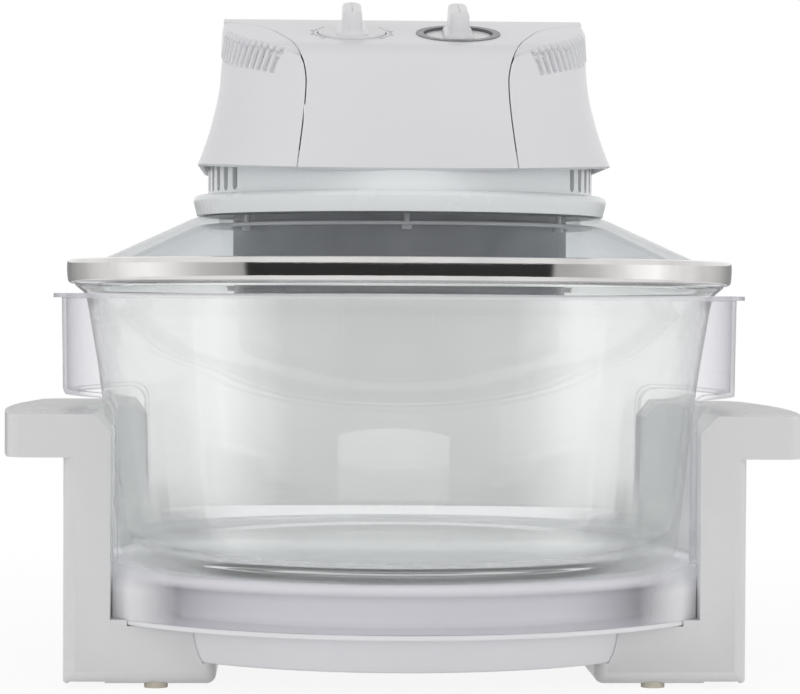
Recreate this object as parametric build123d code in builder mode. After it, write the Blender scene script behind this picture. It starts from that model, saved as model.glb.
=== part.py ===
from build123d import *
import math
import os

# A halogen oven: a glass bowl inside a clear outer shell, on a white base with two handle legs,
# under a hinged glass lid that carries the heater, the fans and the two dials.
# Millimetres, +Z up. The origin lies under the bowl's axis, on the surface that the feet stand on,
# and -Y is the front.

os.makedirs("parts", exist_ok=True)

# ---- clearances ----
slip_fit = 0.05  # radial running clearance of a shaft or a pin
seat_gap = 0.2  # between neighbouring faces that are held by other pieces
curve_gap = 0.3  # between curved faces of neighbouring pieces

# ---- base ----
pad_drop = 2.0  # how far the rubber feet stand out below the legs
foot_plate = 10.0  # thickness of the legs under the base
band_height = 20.0  # height of the base's outer band, with the ledge on it
band_swell = 3.0  # how far the band's side leans out
drum_height = 18.0  # height of the seat drum above the ledge
base_wall = 2.5
lip_stand = 3.0  # how far the seat's rim stands up round the bowl
lip_height = 6.0

# ---- bowl and shell ----
bowl_height = 139.0
bowl_rim_radius = 161.0
bowl_taper = 21.5  # how much smaller the bowl's radius is at its base than at its rim
bowl_foot_inset = 14.5  # from the base's radius to the flat foot's
bowl_flare = 6.5  # how far the rim stands out from the top of the wall
bowl_wall = 4.0
bowl_floor = 8.0
bowl_foot_rise = 10.0  # height of the rounded foot
bowl_belly = 1.5  # how far the wall's middle lies inside a straight taper
shell_wall = 2.0
shell_clearance = 4.5  # from the bowl's rim to the shell's inside
shell_draft = 2.2  # how much narrower the shell is at its bottom
shell_flange = 4.0
shell_drop = 6.0  # how far the shell's top lies below the bowl's rim
cutaway_inset = 3.0  # how far the shell's cutaways lie inside the bowl's base radius
cutaway_height = 102.0
cutaway_round = 8.0
cutaway_lip = 5.5  # depth of the turned edge round a cutaway

# ---- legs and handles ----
leg_depth = 208.0
leg_web = 4.0  # thinnest part of the leg, beside the bowl
leg_wall = 2.5
leg_corner = 6.0
foot_reach = 71.0  # from a leg's outer side to the inner end of its foot
foot_round = 4.5  # rounding under the inner end of the foot
leg_foot_round = 1.8  # and under the leg's outer side
handle_drop = 7.0  # from the top of the shell's cutaway to the handle
handle_height = 20.0
handle_reach = 25.0
handle_bow = 9.0
handle_corner = 10.0
handle_chamfer = 8.0
pad_radius = 5.5
pad_height = 5.0
pad_inset = 8.0  # from the front of a leg to a pad's middle

# ---- hinge ----
knuckle_radius = 5.0
hinge_pin_radius = 2.5
hinge_rise = 8.0  # height of the hinge axis above the bowl's rim
post_half = 25.0
post_thickness = 8.3
arm_half = 14.5
arm_thickness = 6.0

# ---- lid ----
seal_height = 4.8
lid_glass_wall = 5.0
cone_glass_wall = 4.0
lid_slope = 24.7  # degrees
cone_foot_inset = 11.1  # from the bowl's rim radius to the foot of the lid's cone
hub_radius = 101.0
hub_hole_radius = 90.0
rim_overhang = 4.0  # from the bowl's rim to the outside of the steel band
rim_metal = 0.9
rim_skirt = 1.4  # how far the steel band hangs below the top of the bowl's rim
rim_round = 3.2
gasket_inset = 2.0  # from the bowl's rim radius to the outside of the lid's gasket
hub_seal = 0.5

# ---- head ----
flange_height = 10.0
flange_radius = 102.8
neck_radius = 95.5
neck_height = 13.0
head_wall = 2.5
head_corner = 45.0
head_depth_less = 0.5  # how much less deep than wide the head is, at each side
skirt_half = 99.0
waist_inset = 8.0  # from the skirt in to the waist
crown_inset = 11.7  # from the skirt in to the crown
head_height = 74.5
panel_front_rise = 54.2  # from the skirt's bottom edge to the control panel's front edge
panel_tilt = 16.0  # degrees
panel_front_round = 14.0
brow_set_back = 8.0  # how far the front's upper part leans back from the corner at the panel
brow_rise = 20.5
ridge_round = 30.0
ridge_y = 20.0  # the panel's rear edge, where the head is highest
rear_y = 60.0  # where the top begins to fall towards the back
rear_drop = 4.0
back_drop = 22.0
flare_share = 0.55  # share of the head's height over which its sides flare out
flare_power = 1.7
loft_shares = (0.0, 0.15, 0.32, flare_share, 1.04)  # levels that the head's form passes through
seam_gap = 0.6
seam_foot_half = 52.5  # half widths of the middle cover: at its bottom and at its narrowest
seam_waist_half = 47.2
seam_waist_rise = 36.5
seam_spread = [(3.5, 53.0), (11.5, 61.7), (23.4, 68.0)]  # further out than the waist, at this rise
seam_end_rise = 72.5
slot_width = 4.5
slot_pitch = 5.65  # degrees
slot_first = 58.4  # degrees from the front
slot_count = 12
slot_rise = 1.3  # from the top of the flange to the foot of a slot
groove_count = 12
groove_pitch = 4.7  # degrees round the head's corner
groove_first = 21.0
groove_width = 1.7
groove_depth = 1.1
groove_length = 14.0
groove_cut = 6.0  # how far a groove's cutter stands out past the corner's edge
groove_lean = 8.0  # degrees

# ---- dials ----
dial_half_spacing = 25.5
panel_to_dial = 33.8  # along the panel, from its front edge to the dials' middle
knob_radius = 16.4
knob_blade_width = 9.5
knob_blade_height = 12.5
dial_recess = 3.5
bezel_width = 3.8
bezel_thickness = 1.4
control_shaft_radius = 3.0
control_shaft_length = 16.0
timer_case_radius = 19.0
timer_case_depth = 22.0
thermostat_case_radius = 16.0
thermostat_case_depth = 18.0

# ---- heater and fans ----
drum_radius = 83.0
drum_depth = 36.0
sheet_metal = 0.8
insulation_height = 5.0
lamp_radius = 60.0
lamp_tube_radius = 5.0
lamp_tube_wall = 1.0
filament_radius = 0.8
lamp_gap_angle = 30.0  # degrees left open between the lamp's two ends
lamp_drop = 19.0  # from the reflector's roof to the lamp's middle
fan_shaft_radius = 3.0
convection_fan_radius = 42.0
cooling_fan_radius = 50.0
fan_blade_height = 9.0
motor_radius = 28.0
motor_height = 26.0
bracket_height = 26.0
guard_wire = 0.9
reflector_depth = 20.0
heater_screw_radius = 36.0
standoff_x = 60.0  # the motor bracket's feet

# ---- fasteners ----
screw_radius = 1.5
screw_head_radius = 3.2
screw_head_height = 2.0

# ---- small features ----
vent_length = 30.0
vent_width = 4.0
vent_count = 12
pad_inset_x = 21.0  # from the seat drum's radius in to a pad's middle
leg_screw_inset = 29.0  # from the seat drum's radius in to a leg screw
leg_screw_y = 66.0
handle_screw_bite = 8.0
bowl_flare_height = 12.0
gland_rise = 26.5  # from the skirt's bottom edge to the cord inlet's middle
terminal_set_back = 20.5  # from the cord inlet's face to the terminal block's middle

# Heights, each worked out from the one below it.
leg_bottom = pad_drop
band_bottom = leg_bottom + foot_plate
ledge_z = band_bottom + band_height
platform_z = ledge_z + drum_height
rim_z = platform_z + bowl_height
shell_top = rim_z - shell_drop
cutaway_z = ledge_z + cutaway_height
handle_top = cutaway_z - handle_drop
handle_bottom = handle_top - handle_height
glass_low = rim_z + seal_height
glass_high = glass_low + lid_glass_wall
rim_top = glass_high + seat_gap + rim_metal
cone_foot_radius = bowl_rim_radius - cone_foot_inset
cone_rise = (cone_foot_radius - hub_radius) * math.tan(math.radians(lid_slope))
hub_z = glass_high + cone_rise
flange_z = hub_z + hub_seal
neck_z = flange_z + flange_height
floor_top = neck_z + head_wall
skirt_z = neck_z + neck_height
collar_z = skirt_z + head_wall
hinge_z = rim_z + hinge_rise

# Radii and places, each worked out from what they fit.
bowl_wall_top_radius = bowl_rim_radius - bowl_flare
bowl_base_radius = bowl_rim_radius - bowl_taper
bowl_foot_radius = bowl_base_radius - bowl_foot_inset
cutaway_half = bowl_base_radius - cutaway_inset
shell_radius = bowl_rim_radius + shell_clearance + shell_wall
shell_foot_radius = shell_radius - shell_draft
ledge_radius = shell_foot_radius + seat_gap
lip_radius = bowl_base_radius + 13.2
drum_seat_radius = lip_radius - 15.7
band_foot_radius = drum_seat_radius + 3.0
cover_radius = band_foot_radius - 6.0
leg_bore_radius = lip_radius + 2.3
leg_outer = leg_bore_radius + leg_web
leg_inner = cutaway_half + 0.5
foot_half = leg_outer - foot_reach
leg_front = leg_depth / 2
housing_flat = leg_outer - leg_wall - curve_gap
rim_radius = bowl_rim_radius + rim_overhang
post_front = bowl_rim_radius + 2.2
post_back = post_front + post_thickness
rim_low_clear = rim_z - rim_skirt - 2.0  # the hinge post's top, which clears the steel band
hinge_y = rim_radius + 0.5 + knuckle_radius
waist_half = skirt_half - waist_inset
crown_half = skirt_half - crown_inset


def round_places(radius, count, first_angle):
    """Evenly spaced places on a circle about the axis."""
    angles = [math.radians(first_angle + 360.0 / count * i) for i in range(count)]
    return [(radius * math.cos(angle), radius * math.sin(angle)) for angle in angles]


def ring(outer, inner, bottom, height):
    """A plain ring about the bowl's axis."""
    with BuildPart() as made:
        with BuildSketch(Plane.XY.offset(bottom)):
            Circle(outer)
            Circle(inner, mode=Mode.SUBTRACT)
        extrude(amount=height)
    return made


def screws(places, head_bottom, length, head_radius=screw_head_radius):
    """Screws that point up, with the flat of each head at head_bottom."""
    with BuildPart() as made:
        with BuildSketch(Plane.XY.offset(head_bottom)):
            with Locations(*places):
                Circle(head_radius)
        extrude(amount=screw_head_height)
        with BuildSketch(Plane.XY.offset(head_bottom + screw_head_height)):
            with Locations(*places):
                Circle(screw_radius)
        extrude(amount=length)
        with BuildSketch(Plane.XY.offset(head_bottom)):
            with Locations(*places):
                RegularPolygon(screw_radius * 0.9, 6)
        extrude(amount=screw_head_height / 2, mode=Mode.SUBTRACT)
    return made


# ======== base ========

# The base's outer form: a low band, the ledge that the shell stands on, the drum and the seat.
lip_low = platform_z + lip_stand - lip_height
ledge_low = ledge_z - base_wall


def base_profile(gap):
    """Half section of the base, grown by gap on its outside."""
    lip_top = platform_z + lip_stand
    with BuildLine() as line:
        Polyline((0, band_bottom), (band_foot_radius + gap, band_bottom))
        ThreePointArc(
            (band_foot_radius + gap, band_bottom),
            (band_foot_radius + 0.75 * band_swell + gap, band_bottom + 0.4 * band_height),
            (band_foot_radius + band_swell + gap, ledge_low - gap),
        )
        Polyline(
            (band_foot_radius + band_swell + gap, ledge_low - gap),
            (ledge_radius + gap, ledge_low - gap),
            (ledge_radius + gap, ledge_z),
            (drum_seat_radius + 2.0, ledge_z),
            (drum_seat_radius, ledge_z + 3.0),
            (drum_seat_radius, lip_low),
            (lip_radius - 2.0, lip_low),
        )
        ThreePointArc(
            (lip_radius - 2.0, lip_low), (lip_radius, lip_low + lip_height / 2), (lip_radius - 2.0, lip_top)
        )
        Polyline(
            (lip_radius - 2.0, lip_top),
            (lip_radius - 6.0, lip_top),
            (lip_radius - 8.0, platform_z),
            (0, platform_z),
            (0, band_bottom),
        )
    return line


with BuildPart() as base_outside:
    with BuildSketch(Plane.XZ):
        with BuildLine():
            add(base_profile(0).line)
        make_face()
    revolve(axis=Axis.Z)
    Box(2 * housing_flat, 4 * ledge_radius, 4 * platform_z, mode=Mode.INTERSECT)

with BuildPart() as base_inside:
    with BuildSketch(Plane.XZ):
        with BuildLine():
            Polyline(
                (0, band_bottom),
                (band_foot_radius - base_wall, band_bottom),
                (band_foot_radius - base_wall, ledge_low),
                (drum_seat_radius - base_wall, ledge_low),
                (drum_seat_radius - base_wall, platform_z - base_wall),
                (0, platform_z - base_wall),
                (0, band_bottom),
            )
        make_face()
    revolve(axis=Axis.Z)

leg_screw_x = drum_seat_radius - leg_screw_inset
leg_screw_places = [(sx * leg_screw_x, sy * leg_screw_y) for sx in (-1, 1) for sy in (-1, 1)]
cover_height = base_wall
boss_radius = 5.0
post_screw_places = [(-post_half / 2, ledge_radius - 14.0), (post_half / 2, ledge_radius - 14.0)]

with BuildPart() as base_housing:
    add(base_outside.part)
    add(base_inside.part, mode=Mode.SUBTRACT)
    with BuildSketch(Plane.XY.offset(band_bottom + cover_height)):
        with Locations(*leg_screw_places):
            Circle(boss_radius)
    extrude(amount=platform_z - base_wall - band_bottom - cover_height)
    with BuildSketch(Plane.XY.offset(band_bottom)):
        with Locations(*leg_screw_places):
            Circle(screw_radius + seat_gap)
    extrude(amount=drum_height, mode=Mode.SUBTRACT)
    with BuildSketch(Plane.XY.offset(ledge_low)):
        with Locations(*post_screw_places):
            Circle(screw_radius + seat_gap)
    extrude(amount=base_wall, mode=Mode.SUBTRACT)
base_housing.part.label = "base_housing"
export_step(base_housing.part, "parts/base_housing.step")

with BuildPart() as bottom_cover:
    with BuildSketch(Plane.XY.offset(band_bottom)):
        Circle(cover_radius)
        with Locations(*leg_screw_places):
            Circle(screw_radius + seat_gap, mode=Mode.SUBTRACT)
    extrude(amount=cover_height)
    with BuildSketch(Plane.XY.offset(band_bottom)):
        with PolarLocations(cover_radius / 2, vent_count):
            SlotOverall(vent_length, vent_width)
    extrude(amount=cover_height, mode=Mode.SUBTRACT)
bottom_cover.part.label = "bottom_cover"
export_step(bottom_cover.part, "parts/bottom_cover.step")

# ======== legs and handles ========

pad_x = drum_seat_radius - pad_inset_x
pad_y = leg_front - pad_inset
pad_places = [(sx * pad_x, sy * pad_y) for sx in (-1, 1) for sy in (-1, 1)]
handle_outer = leg_outer + handle_reach
handle_pocket_wall = 3.5
handle_cover_thickness = 2.5
handle_screw_x = leg_outer + handle_reach / 2 + 3.0
handle_screw_y = 60.0

with BuildPart() as base_envelope:
    with BuildSketch(Plane.XZ):
        with BuildLine():
            add(base_profile(curve_gap).line)
        make_face()
    revolve(axis=Axis.Z)
    Box(2 * (housing_flat + curve_gap), 4 * ledge_radius, 4 * platform_z, mode=Mode.INTERSECT)

with BuildPart() as right_leg:
    # the slab beside the bowl, and the foot that reaches in under the base
    with BuildSketch(Plane.XY.offset(leg_bottom)):
        with Locations(((foot_half + leg_outer) / 2, 0)):
            Rectangle(leg_outer - foot_half, leg_depth)
    extrude(amount=ledge_z - leg_bottom)
    foot_edges = right_leg.edges().filter_by(Axis.Y).group_by(Axis.Z)[0].sort_by(Axis.X)
    fillet(foot_edges[0], radius=foot_round)
    fillet(
        right_leg.edges().filter_by(Axis.Y).group_by(Axis.Z)[0].sort_by(Axis.X)[-1], radius=leg_foot_round
    )
    with BuildSketch(Plane.XY.offset(ledge_z)):
        with Locations(((leg_inner + leg_outer) / 2, 0)):
            Rectangle(leg_outer - leg_inner, leg_depth)
    extrude(amount=handle_top - ledge_z)
    fillet(
        right_leg.edges().filter_by(Axis.Z).filter_by_position(Axis.X, leg_outer - 1, leg_outer + 1),
        radius=leg_corner,
    )
    # the bow-fronted handle plate
    with BuildSketch(Plane.XY.offset(handle_bottom)) as handle_plan:
        with BuildLine():
            Polyline(
                (handle_outer, leg_front), (leg_inner, leg_front), (leg_inner, -leg_front),
                (handle_outer, -leg_front),
            )
            ThreePointArc(
                (handle_outer, -leg_front), (handle_outer + handle_bow, 0), (handle_outer, leg_front)
            )
        make_face()
        fillet(handle_plan.vertices().group_by(Axis.X)[-1], radius=handle_corner)
    extrude(amount=handle_height)
    # room for the bowl and its seat, and for the base
    with BuildSketch(Plane.XY.offset(ledge_z)):
        Circle(leg_bore_radius)
    extrude(amount=handle_top, mode=Mode.SUBTRACT)
    add(base_envelope.part, mode=Mode.SUBTRACT)
    # the handle's top falls away towards the shell's cutaway
    with BuildSketch(Plane.XZ):
        Polygon(
            (leg_inner - 1, handle_top - handle_chamfer - 1),
            (leg_inner + handle_chamfer, handle_top),
            (leg_inner + handle_chamfer, handle_top + 1),
            (leg_inner - 1, handle_top + 1),
            align=None,
        )
    extrude(amount=leg_depth, both=True, mode=Mode.SUBTRACT)
    # the leg is hollow and open at its bottom
    with BuildSketch(Plane.XY.offset(leg_bottom)):
        with Locations(((leg_inner + leg_outer) / 2, 0)):
            Rectangle(leg_outer - leg_inner - 2 * leg_wall, leg_depth - 2 * leg_wall)
        Circle(leg_bore_radius + leg_wall, mode=Mode.SUBTRACT)
    extrude(amount=handle_bottom - leg_wall - leg_bottom, mode=Mode.SUBTRACT)
    # the handle's hollow, with a post for each cover screw
    with BuildSketch(Plane.XY.offset(handle_bottom)) as pocket_plan:
        with BuildLine():
            pocket_outer = handle_outer - handle_pocket_wall
            pocket_half = leg_front - handle_pocket_wall
            Polyline(
                (pocket_outer, pocket_half), (leg_outer + leg_wall, pocket_half),
                (leg_outer + leg_wall, -pocket_half), (pocket_outer, -pocket_half),
            )
            ThreePointArc(
                (pocket_outer, -pocket_half), (pocket_outer + handle_bow, 0), (pocket_outer, pocket_half)
            )
        make_face()
        fillet(pocket_plan.vertices().group_by(Axis.X)[-1], radius=handle_corner - handle_pocket_wall)
    extrude(amount=handle_height - handle_pocket_wall, mode=Mode.SUBTRACT)
    with BuildSketch(Plane.XY.offset(handle_bottom + handle_cover_thickness)):
        with Locations((handle_screw_x, handle_screw_y), (handle_screw_x, -handle_screw_y)):
            Circle(boss_radius)
            Circle(screw_radius + seat_gap, mode=Mode.SUBTRACT)
    extrude(amount=handle_height - handle_pocket_wall - handle_cover_thickness)
    # screw holes up into the base, and seats for the rubber feet
    with BuildSketch(Plane.XY.offset(leg_bottom)):
        with Locations((leg_screw_x, leg_screw_y), (leg_screw_x, -leg_screw_y)):
            Circle(screw_radius + seat_gap)
    extrude(amount=foot_plate, mode=Mode.SUBTRACT)
    with BuildSketch(Plane.XY.offset(leg_bottom)):
        with Locations((leg_screw_x, leg_screw_y), (leg_screw_x, -leg_screw_y)):
            Circle(screw_head_radius + seat_gap)
    extrude(amount=screw_head_height + 1.0, mode=Mode.SUBTRACT)
    with BuildSketch(Plane.XY.offset(leg_bottom)):
        with Locations((pad_x, pad_y), (pad_x, -pad_y)):
            Circle(pad_radius + seat_gap)
    extrude(amount=pad_height - pad_drop, mode=Mode.SUBTRACT)
right_leg.part.label = "right_leg"
export_step(right_leg.part, "parts/right_leg.step")

with BuildPart() as left_leg:
    add(right_leg.part)
    mirror(about=Plane.YZ, mode=Mode.REPLACE)
left_leg.part.label = "left_leg"
export_step(left_leg.part, "parts/left_leg.step")

with BuildPart() as right_handle_cover:
    with BuildSketch(Plane.XY.offset(handle_bottom)) as cover_plan:
        with BuildLine():
            cover_outer = pocket_outer - seat_gap
            cover_half = pocket_half - seat_gap
            cover_inner = leg_outer + leg_wall + seat_gap
            Polyline(
                (cover_outer, cover_half), (cover_inner, cover_half), (cover_inner, -cover_half),
                (cover_outer, -cover_half),
            )
            ThreePointArc(
                (cover_outer, -cover_half), (cover_outer + handle_bow, 0), (cover_outer, cover_half)
            )
        make_face()
        fillet(cover_plan.vertices().group_by(Axis.X)[-1], radius=handle_corner - handle_pocket_wall)
    extrude(amount=handle_cover_thickness)
    with BuildSketch(Plane.XY.offset(handle_bottom)):
        with Locations((handle_screw_x, handle_screw_y), (handle_screw_x, -handle_screw_y)):
            Circle(screw_radius + seat_gap)
    extrude(amount=handle_cover_thickness, mode=Mode.SUBTRACT)
right_handle_cover.part.label = "right_handle_cover"
export_step(right_handle_cover.part, "parts/right_handle_cover.step")

with BuildPart() as left_handle_cover:
    add(right_handle_cover.part)
    mirror(about=Plane.YZ, mode=Mode.REPLACE)
left_handle_cover.part.label = "left_handle_cover"
export_step(left_handle_cover.part, "parts/left_handle_cover.step")

with BuildPart() as rubber_feet:
    with BuildSketch():
        with Locations(*pad_places):
            Circle(pad_radius)
    extrude(amount=pad_height)
rubber_feet.part.label = "rubber_feet"
export_step(rubber_feet.part, "parts/rubber_feet.step")

base_screws = screws(leg_screw_places, leg_bottom + 1.0, foot_plate + cover_height + 6.0)
base_screws.part.label = "base_screws"
export_step(base_screws.part, "parts/base_screws.step")

handle_screw_places = [
    (sx * handle_screw_x, sy * handle_screw_y) for sx in (-1, 1) for sy in (-1, 1)
]
handle_screws = screws(
    handle_screw_places, handle_bottom - screw_head_height, handle_cover_thickness + handle_screw_bite
)
handle_screws.part.label = "handle_screws"
export_step(handle_screws.part, "parts/handle_screws.step")

# ======== bowl and shell ========

with BuildPart() as glass_bowl:
    foot_top = platform_z + bowl_foot_rise
    wall_top = rim_z - bowl_flare_height
    wall_middle = (foot_top + wall_top) / 2
    middle_radius = (bowl_base_radius + bowl_wall_top_radius) / 2 - bowl_belly
    with BuildSketch(Plane.XZ):
        with BuildLine():
            Line((0, platform_z), (bowl_foot_radius, platform_z))
            TangentArc((bowl_foot_radius, platform_z), (bowl_base_radius, foot_top), tangent=(1, 0))
            ThreePointArc(
                (bowl_base_radius, foot_top), (middle_radius, wall_middle), (bowl_wall_top_radius, wall_top)
            )
            Polyline(
                (bowl_wall_top_radius, wall_top),
                (bowl_wall_top_radius + 1.5, rim_z - 6.0),
                (bowl_rim_radius, rim_z - 2.0),
            )
            TangentArc((bowl_rim_radius, rim_z - 2.0), (bowl_rim_radius - 1.6, rim_z), tangent=(0, 1))
            Polyline(
                (bowl_rim_radius - 1.6, rim_z),
                (bowl_rim_radius - bowl_wall - 0.6, rim_z),
                (bowl_rim_radius - bowl_wall - 1.4, rim_z - 1.4),
                (bowl_wall_top_radius + 2.0 - bowl_wall, rim_z - 5.0),
                (bowl_wall_top_radius - bowl_wall, wall_top),
            )
            ThreePointArc(
                (bowl_wall_top_radius - bowl_wall, wall_top),
                (middle_radius - bowl_wall, wall_middle),
                (bowl_base_radius - bowl_wall, foot_top + 6.0),
            )
            ThreePointArc(
                (bowl_base_radius - bowl_wall, foot_top + 6.0),
                (bowl_base_radius - bowl_wall - 2.4, foot_top + 0.4),
                (bowl_base_radius - bowl_wall - 8.0, platform_z + bowl_floor),
            )
            Polyline(
                (bowl_base_radius - bowl_wall - 8.0, platform_z + bowl_floor),
                (0, platform_z + bowl_floor),
                (0, platform_z),
            )
        make_face()
    revolve(axis=Axis.Z)
glass_bowl.part.label = "glass_bowl"
export_step(glass_bowl.part, "parts/glass_bowl.step")


def cutaway_outline(grown):
    """The right-hand cutaway, seen from the front, grown by a wall's thickness."""
    edge = cutaway_half - grown
    top = cutaway_z + grown
    chamfer_start = shell_radius - 4.0
    far = shell_radius + 20.0
    with BuildSketch(Plane.XZ) as outline:
        with BuildLine():
            Polyline(
                (edge, ledge_z - 1.0),
                (edge, top),
                (chamfer_start, top),
                (chamfer_start + 6.0, top + 6.0),
                (far, top + 6.0),
                (far, ledge_z - 1.0),
                (edge, ledge_z - 1.0),
            )
        make_face()
        fillet(
            outline.vertices().filter_by_position(Axis.X, edge - 0.1, edge + 0.1).sort_by(Axis.Y)[-1],
            radius=cutaway_round,
        )
        mirror(about=Plane.YZ)
    return outline.sketch


shell_inside = shell_radius - shell_wall
with BuildPart() as cutaway_edges:
    with BuildSketch(Plane.XZ):
        with BuildLine():
            top_radius = shell_inside - shell_draft * (shell_top - cutaway_z) / (shell_top - ledge_z)
            Polyline(
                (shell_foot_radius - shell_wall / 2, ledge_z),
                (top_radius + shell_wall / 2, cutaway_z + shell_wall),
                (top_radius - cutaway_lip, cutaway_z + shell_wall),
                (shell_foot_radius - shell_wall - cutaway_lip, ledge_z),
                (shell_foot_radius - shell_wall / 2, ledge_z),
            )
        make_face()
    revolve(axis=Axis.Z)
    extrude(cutaway_outline(shell_wall), amount=2 * shell_radius, both=True, mode=Mode.INTERSECT)

with BuildPart() as outer_shell:
    with BuildSketch(Plane.XZ):
        with BuildLine():
            Polyline(
                (shell_foot_radius, ledge_z),
                (shell_radius, shell_top - shell_wall),
                (shell_radius + shell_flange, shell_top - shell_wall),
                (shell_radius + shell_flange, shell_top),
                (shell_inside, shell_top),
                (shell_foot_radius - shell_wall, ledge_z),
                (shell_foot_radius, ledge_z),
            )
        make_face()
    revolve(axis=Axis.Z)
    add(cutaway_edges.part)
    extrude(cutaway_outline(0), amount=2 * shell_radius, both=True, mode=Mode.SUBTRACT)
    # the slot at the back that the hinge post stands in
    with BuildSketch(Plane.XY.offset(ledge_z)):
        with Locations((0, shell_radius)):
            Rectangle(2 * (post_half + 1.0), 4 * shell_flange + 2 * post_thickness)
    extrude(amount=shell_top, mode=Mode.SUBTRACT)
outer_shell.part.label = "outer_shell"
export_step(outer_shell.part, "parts/outer_shell.step")

# ======== hinge ========

post_top = rim_low_clear
ear_inner = arm_half + 0.8
ear_width = post_half - ear_inner
post_foot_front = drum_seat_radius + 4.0
with BuildPart() as hinge_post:
    with BuildSketch(Plane.YZ):
        Polygon(
            (post_foot_front, ledge_z),
            (post_back, ledge_z),
            (post_back, post_top - 18.0),
            (hinge_y + knuckle_radius, post_top - 8.0),
            (hinge_y + knuckle_radius, post_top),
            (post_front, post_top),
            (post_front, ledge_z + 8.0),
            (post_front - 4.0, ledge_z + 4.0),
            (post_foot_front, ledge_z + 4.0),
            align=None,
        )
    extrude(amount=post_half, both=True)
    for side in (-1, 1):
        with BuildSketch(Plane.YZ.offset(side * ear_inner)):
            with Locations((hinge_y, (hinge_z + post_top) / 2)):
                Rectangle(2 * knuckle_radius, hinge_z - post_top)
            with Locations((hinge_y, hinge_z)):
                Circle(knuckle_radius)
        extrude(amount=side * ear_width)
    with BuildSketch(Plane.YZ):
        with Locations((hinge_y, hinge_z)):
            Circle(hinge_pin_radius + slip_fit)
    extrude(amount=post_half, both=True, mode=Mode.SUBTRACT)
    with BuildSketch(Plane.XY.offset(ledge_z)):
        with Locations(*post_screw_places):
            Circle(screw_radius + slip_fit)
    extrude(amount=3.0, mode=Mode.SUBTRACT)
hinge_post.part.label = "hinge_post"
export_step(hinge_post.part, "parts/hinge_post.step")

post_screws = screws(post_screw_places, ledge_low - screw_head_height, base_wall + 2.8)
post_screws.part.label = "post_screws"
export_step(post_screws.part, "parts/post_screws.step")

with BuildPart() as hinge_pin:
    with BuildSketch(Plane.YZ.offset(-post_half - 1.0)):
        with Locations((hinge_y, hinge_z)):
            Circle(hinge_pin_radius)
    extrude(amount=2 * post_half + 2.0)
    with BuildSketch(Plane.YZ.offset(-post_half - 1.5 - seat_gap)):
        with Locations((hinge_y, hinge_z)):
            Circle(hinge_pin_radius + 1.3)
    extrude(amount=1.5)
hinge_pin.part.label = "hinge_pin"
export_step(hinge_pin.part, "parts/hinge_pin.step")

arm_foot_front = neck_radius + curve_gap
arm_screw_places = [(-7.0, arm_foot_front + 3.0), (7.0, arm_foot_front + 3.0)]
with BuildPart() as hinge_arm:
    with BuildSketch(Plane.YZ) as arm_section:
        Polygon(
            (arm_foot_front - 3.0, neck_z),
            (flange_radius + 1.0, neck_z),
            (cone_foot_radius + 4.0, rim_top),
            (rim_radius + 0.5, rim_top),
            (rim_radius + 0.5, hinge_z),
            (hinge_y + knuckle_radius, hinge_z),
            (hinge_y + knuckle_radius, rim_top + 3.0),
            (hinge_y - 1.0, rim_top + arm_thickness + 2.0),
            (cone_foot_radius + 6.0, rim_top + arm_thickness + 3.0),
            (flange_radius + 3.0, neck_z + arm_thickness),
            (arm_foot_front - 3.0, neck_z + arm_thickness),
            align=None,
        )
        with Locations((hinge_y, hinge_z)):
            Circle(knuckle_radius)
    extrude(amount=arm_half, both=True)
    # the foot fits round the neck
    with BuildSketch(Plane.XY.offset(neck_z)):
        Circle(arm_foot_front)
    extrude(amount=2 * arm_thickness, mode=Mode.SUBTRACT)
    with BuildSketch(Plane.YZ):
        with Locations((hinge_y, hinge_z)):
            Circle(hinge_pin_radius + slip_fit)
    extrude(amount=arm_half, both=True, mode=Mode.SUBTRACT)
    with BuildSketch(Plane.XY.offset(neck_z)):
        with Locations(*arm_screw_places):
            Circle(screw_radius + slip_fit)
    extrude(amount=4.0, mode=Mode.SUBTRACT)
hinge_arm.part.label = "hinge_arm"
export_step(hinge_arm.part, "parts/hinge_arm.step")

# ======== lid ========

with BuildPart() as lid_glass:
    with BuildSketch(Plane.XZ):
        Polygon(
            (hub_hole_radius, hub_z),
            (hub_radius, hub_z),
            (cone_foot_radius, glass_high),
            (rim_radius - rim_metal - curve_gap, glass_high),
            (rim_radius - rim_metal - curve_gap, glass_low),
            (cone_foot_radius - 0.7, glass_low),
            (hub_radius - 0.9, hub_z - cone_glass_wall),
            (hub_hole_radius, hub_z - cone_glass_wall),
            align=None,
        )
    revolve(axis=Axis.Z)
lid_glass.part.label = "lid_glass"
export_step(lid_glass.part, "parts/lid_glass.step")

rim_low = rim_z - rim_skirt
with BuildPart() as lid_rim_band:
    with BuildSketch(Plane.XZ):
        with BuildLine():
            inner_radius = rim_radius - rim_metal
            Polyline(
                (cone_foot_radius + 0.8, rim_top),
                (rim_radius - 1.2, rim_top),
            )
            RadiusArc((rim_radius - 1.2, rim_top), (rim_radius, rim_top - 1.2), 1.2)
            Line((rim_radius, rim_top - 1.2), (rim_radius, rim_low + rim_round))
            RadiusArc((rim_radius, rim_low + rim_round), (rim_radius - rim_round, rim_low), rim_round)
            Polyline(
                (rim_radius - rim_round, rim_low),
                (rim_radius - rim_round, rim_low + rim_metal),
            )
            RadiusArc(
                (rim_radius - rim_round, rim_low + rim_metal),
                (inner_radius, rim_low + rim_round),
                -(rim_round - rim_metal),
            )
            Polyline(
                (inner_radius, rim_low + rim_round),
                (inner_radius, rim_top - rim_metal),
                (cone_foot_radius + 0.8, rim_top - rim_metal),
                (cone_foot_radius + 0.8, rim_top),
            )
        make_face()
    revolve(axis=Axis.Z)
lid_rim_band.part.label = "lid_rim_band"
export_step(lid_rim_band.part, "parts/lid_rim_band.step")

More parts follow.
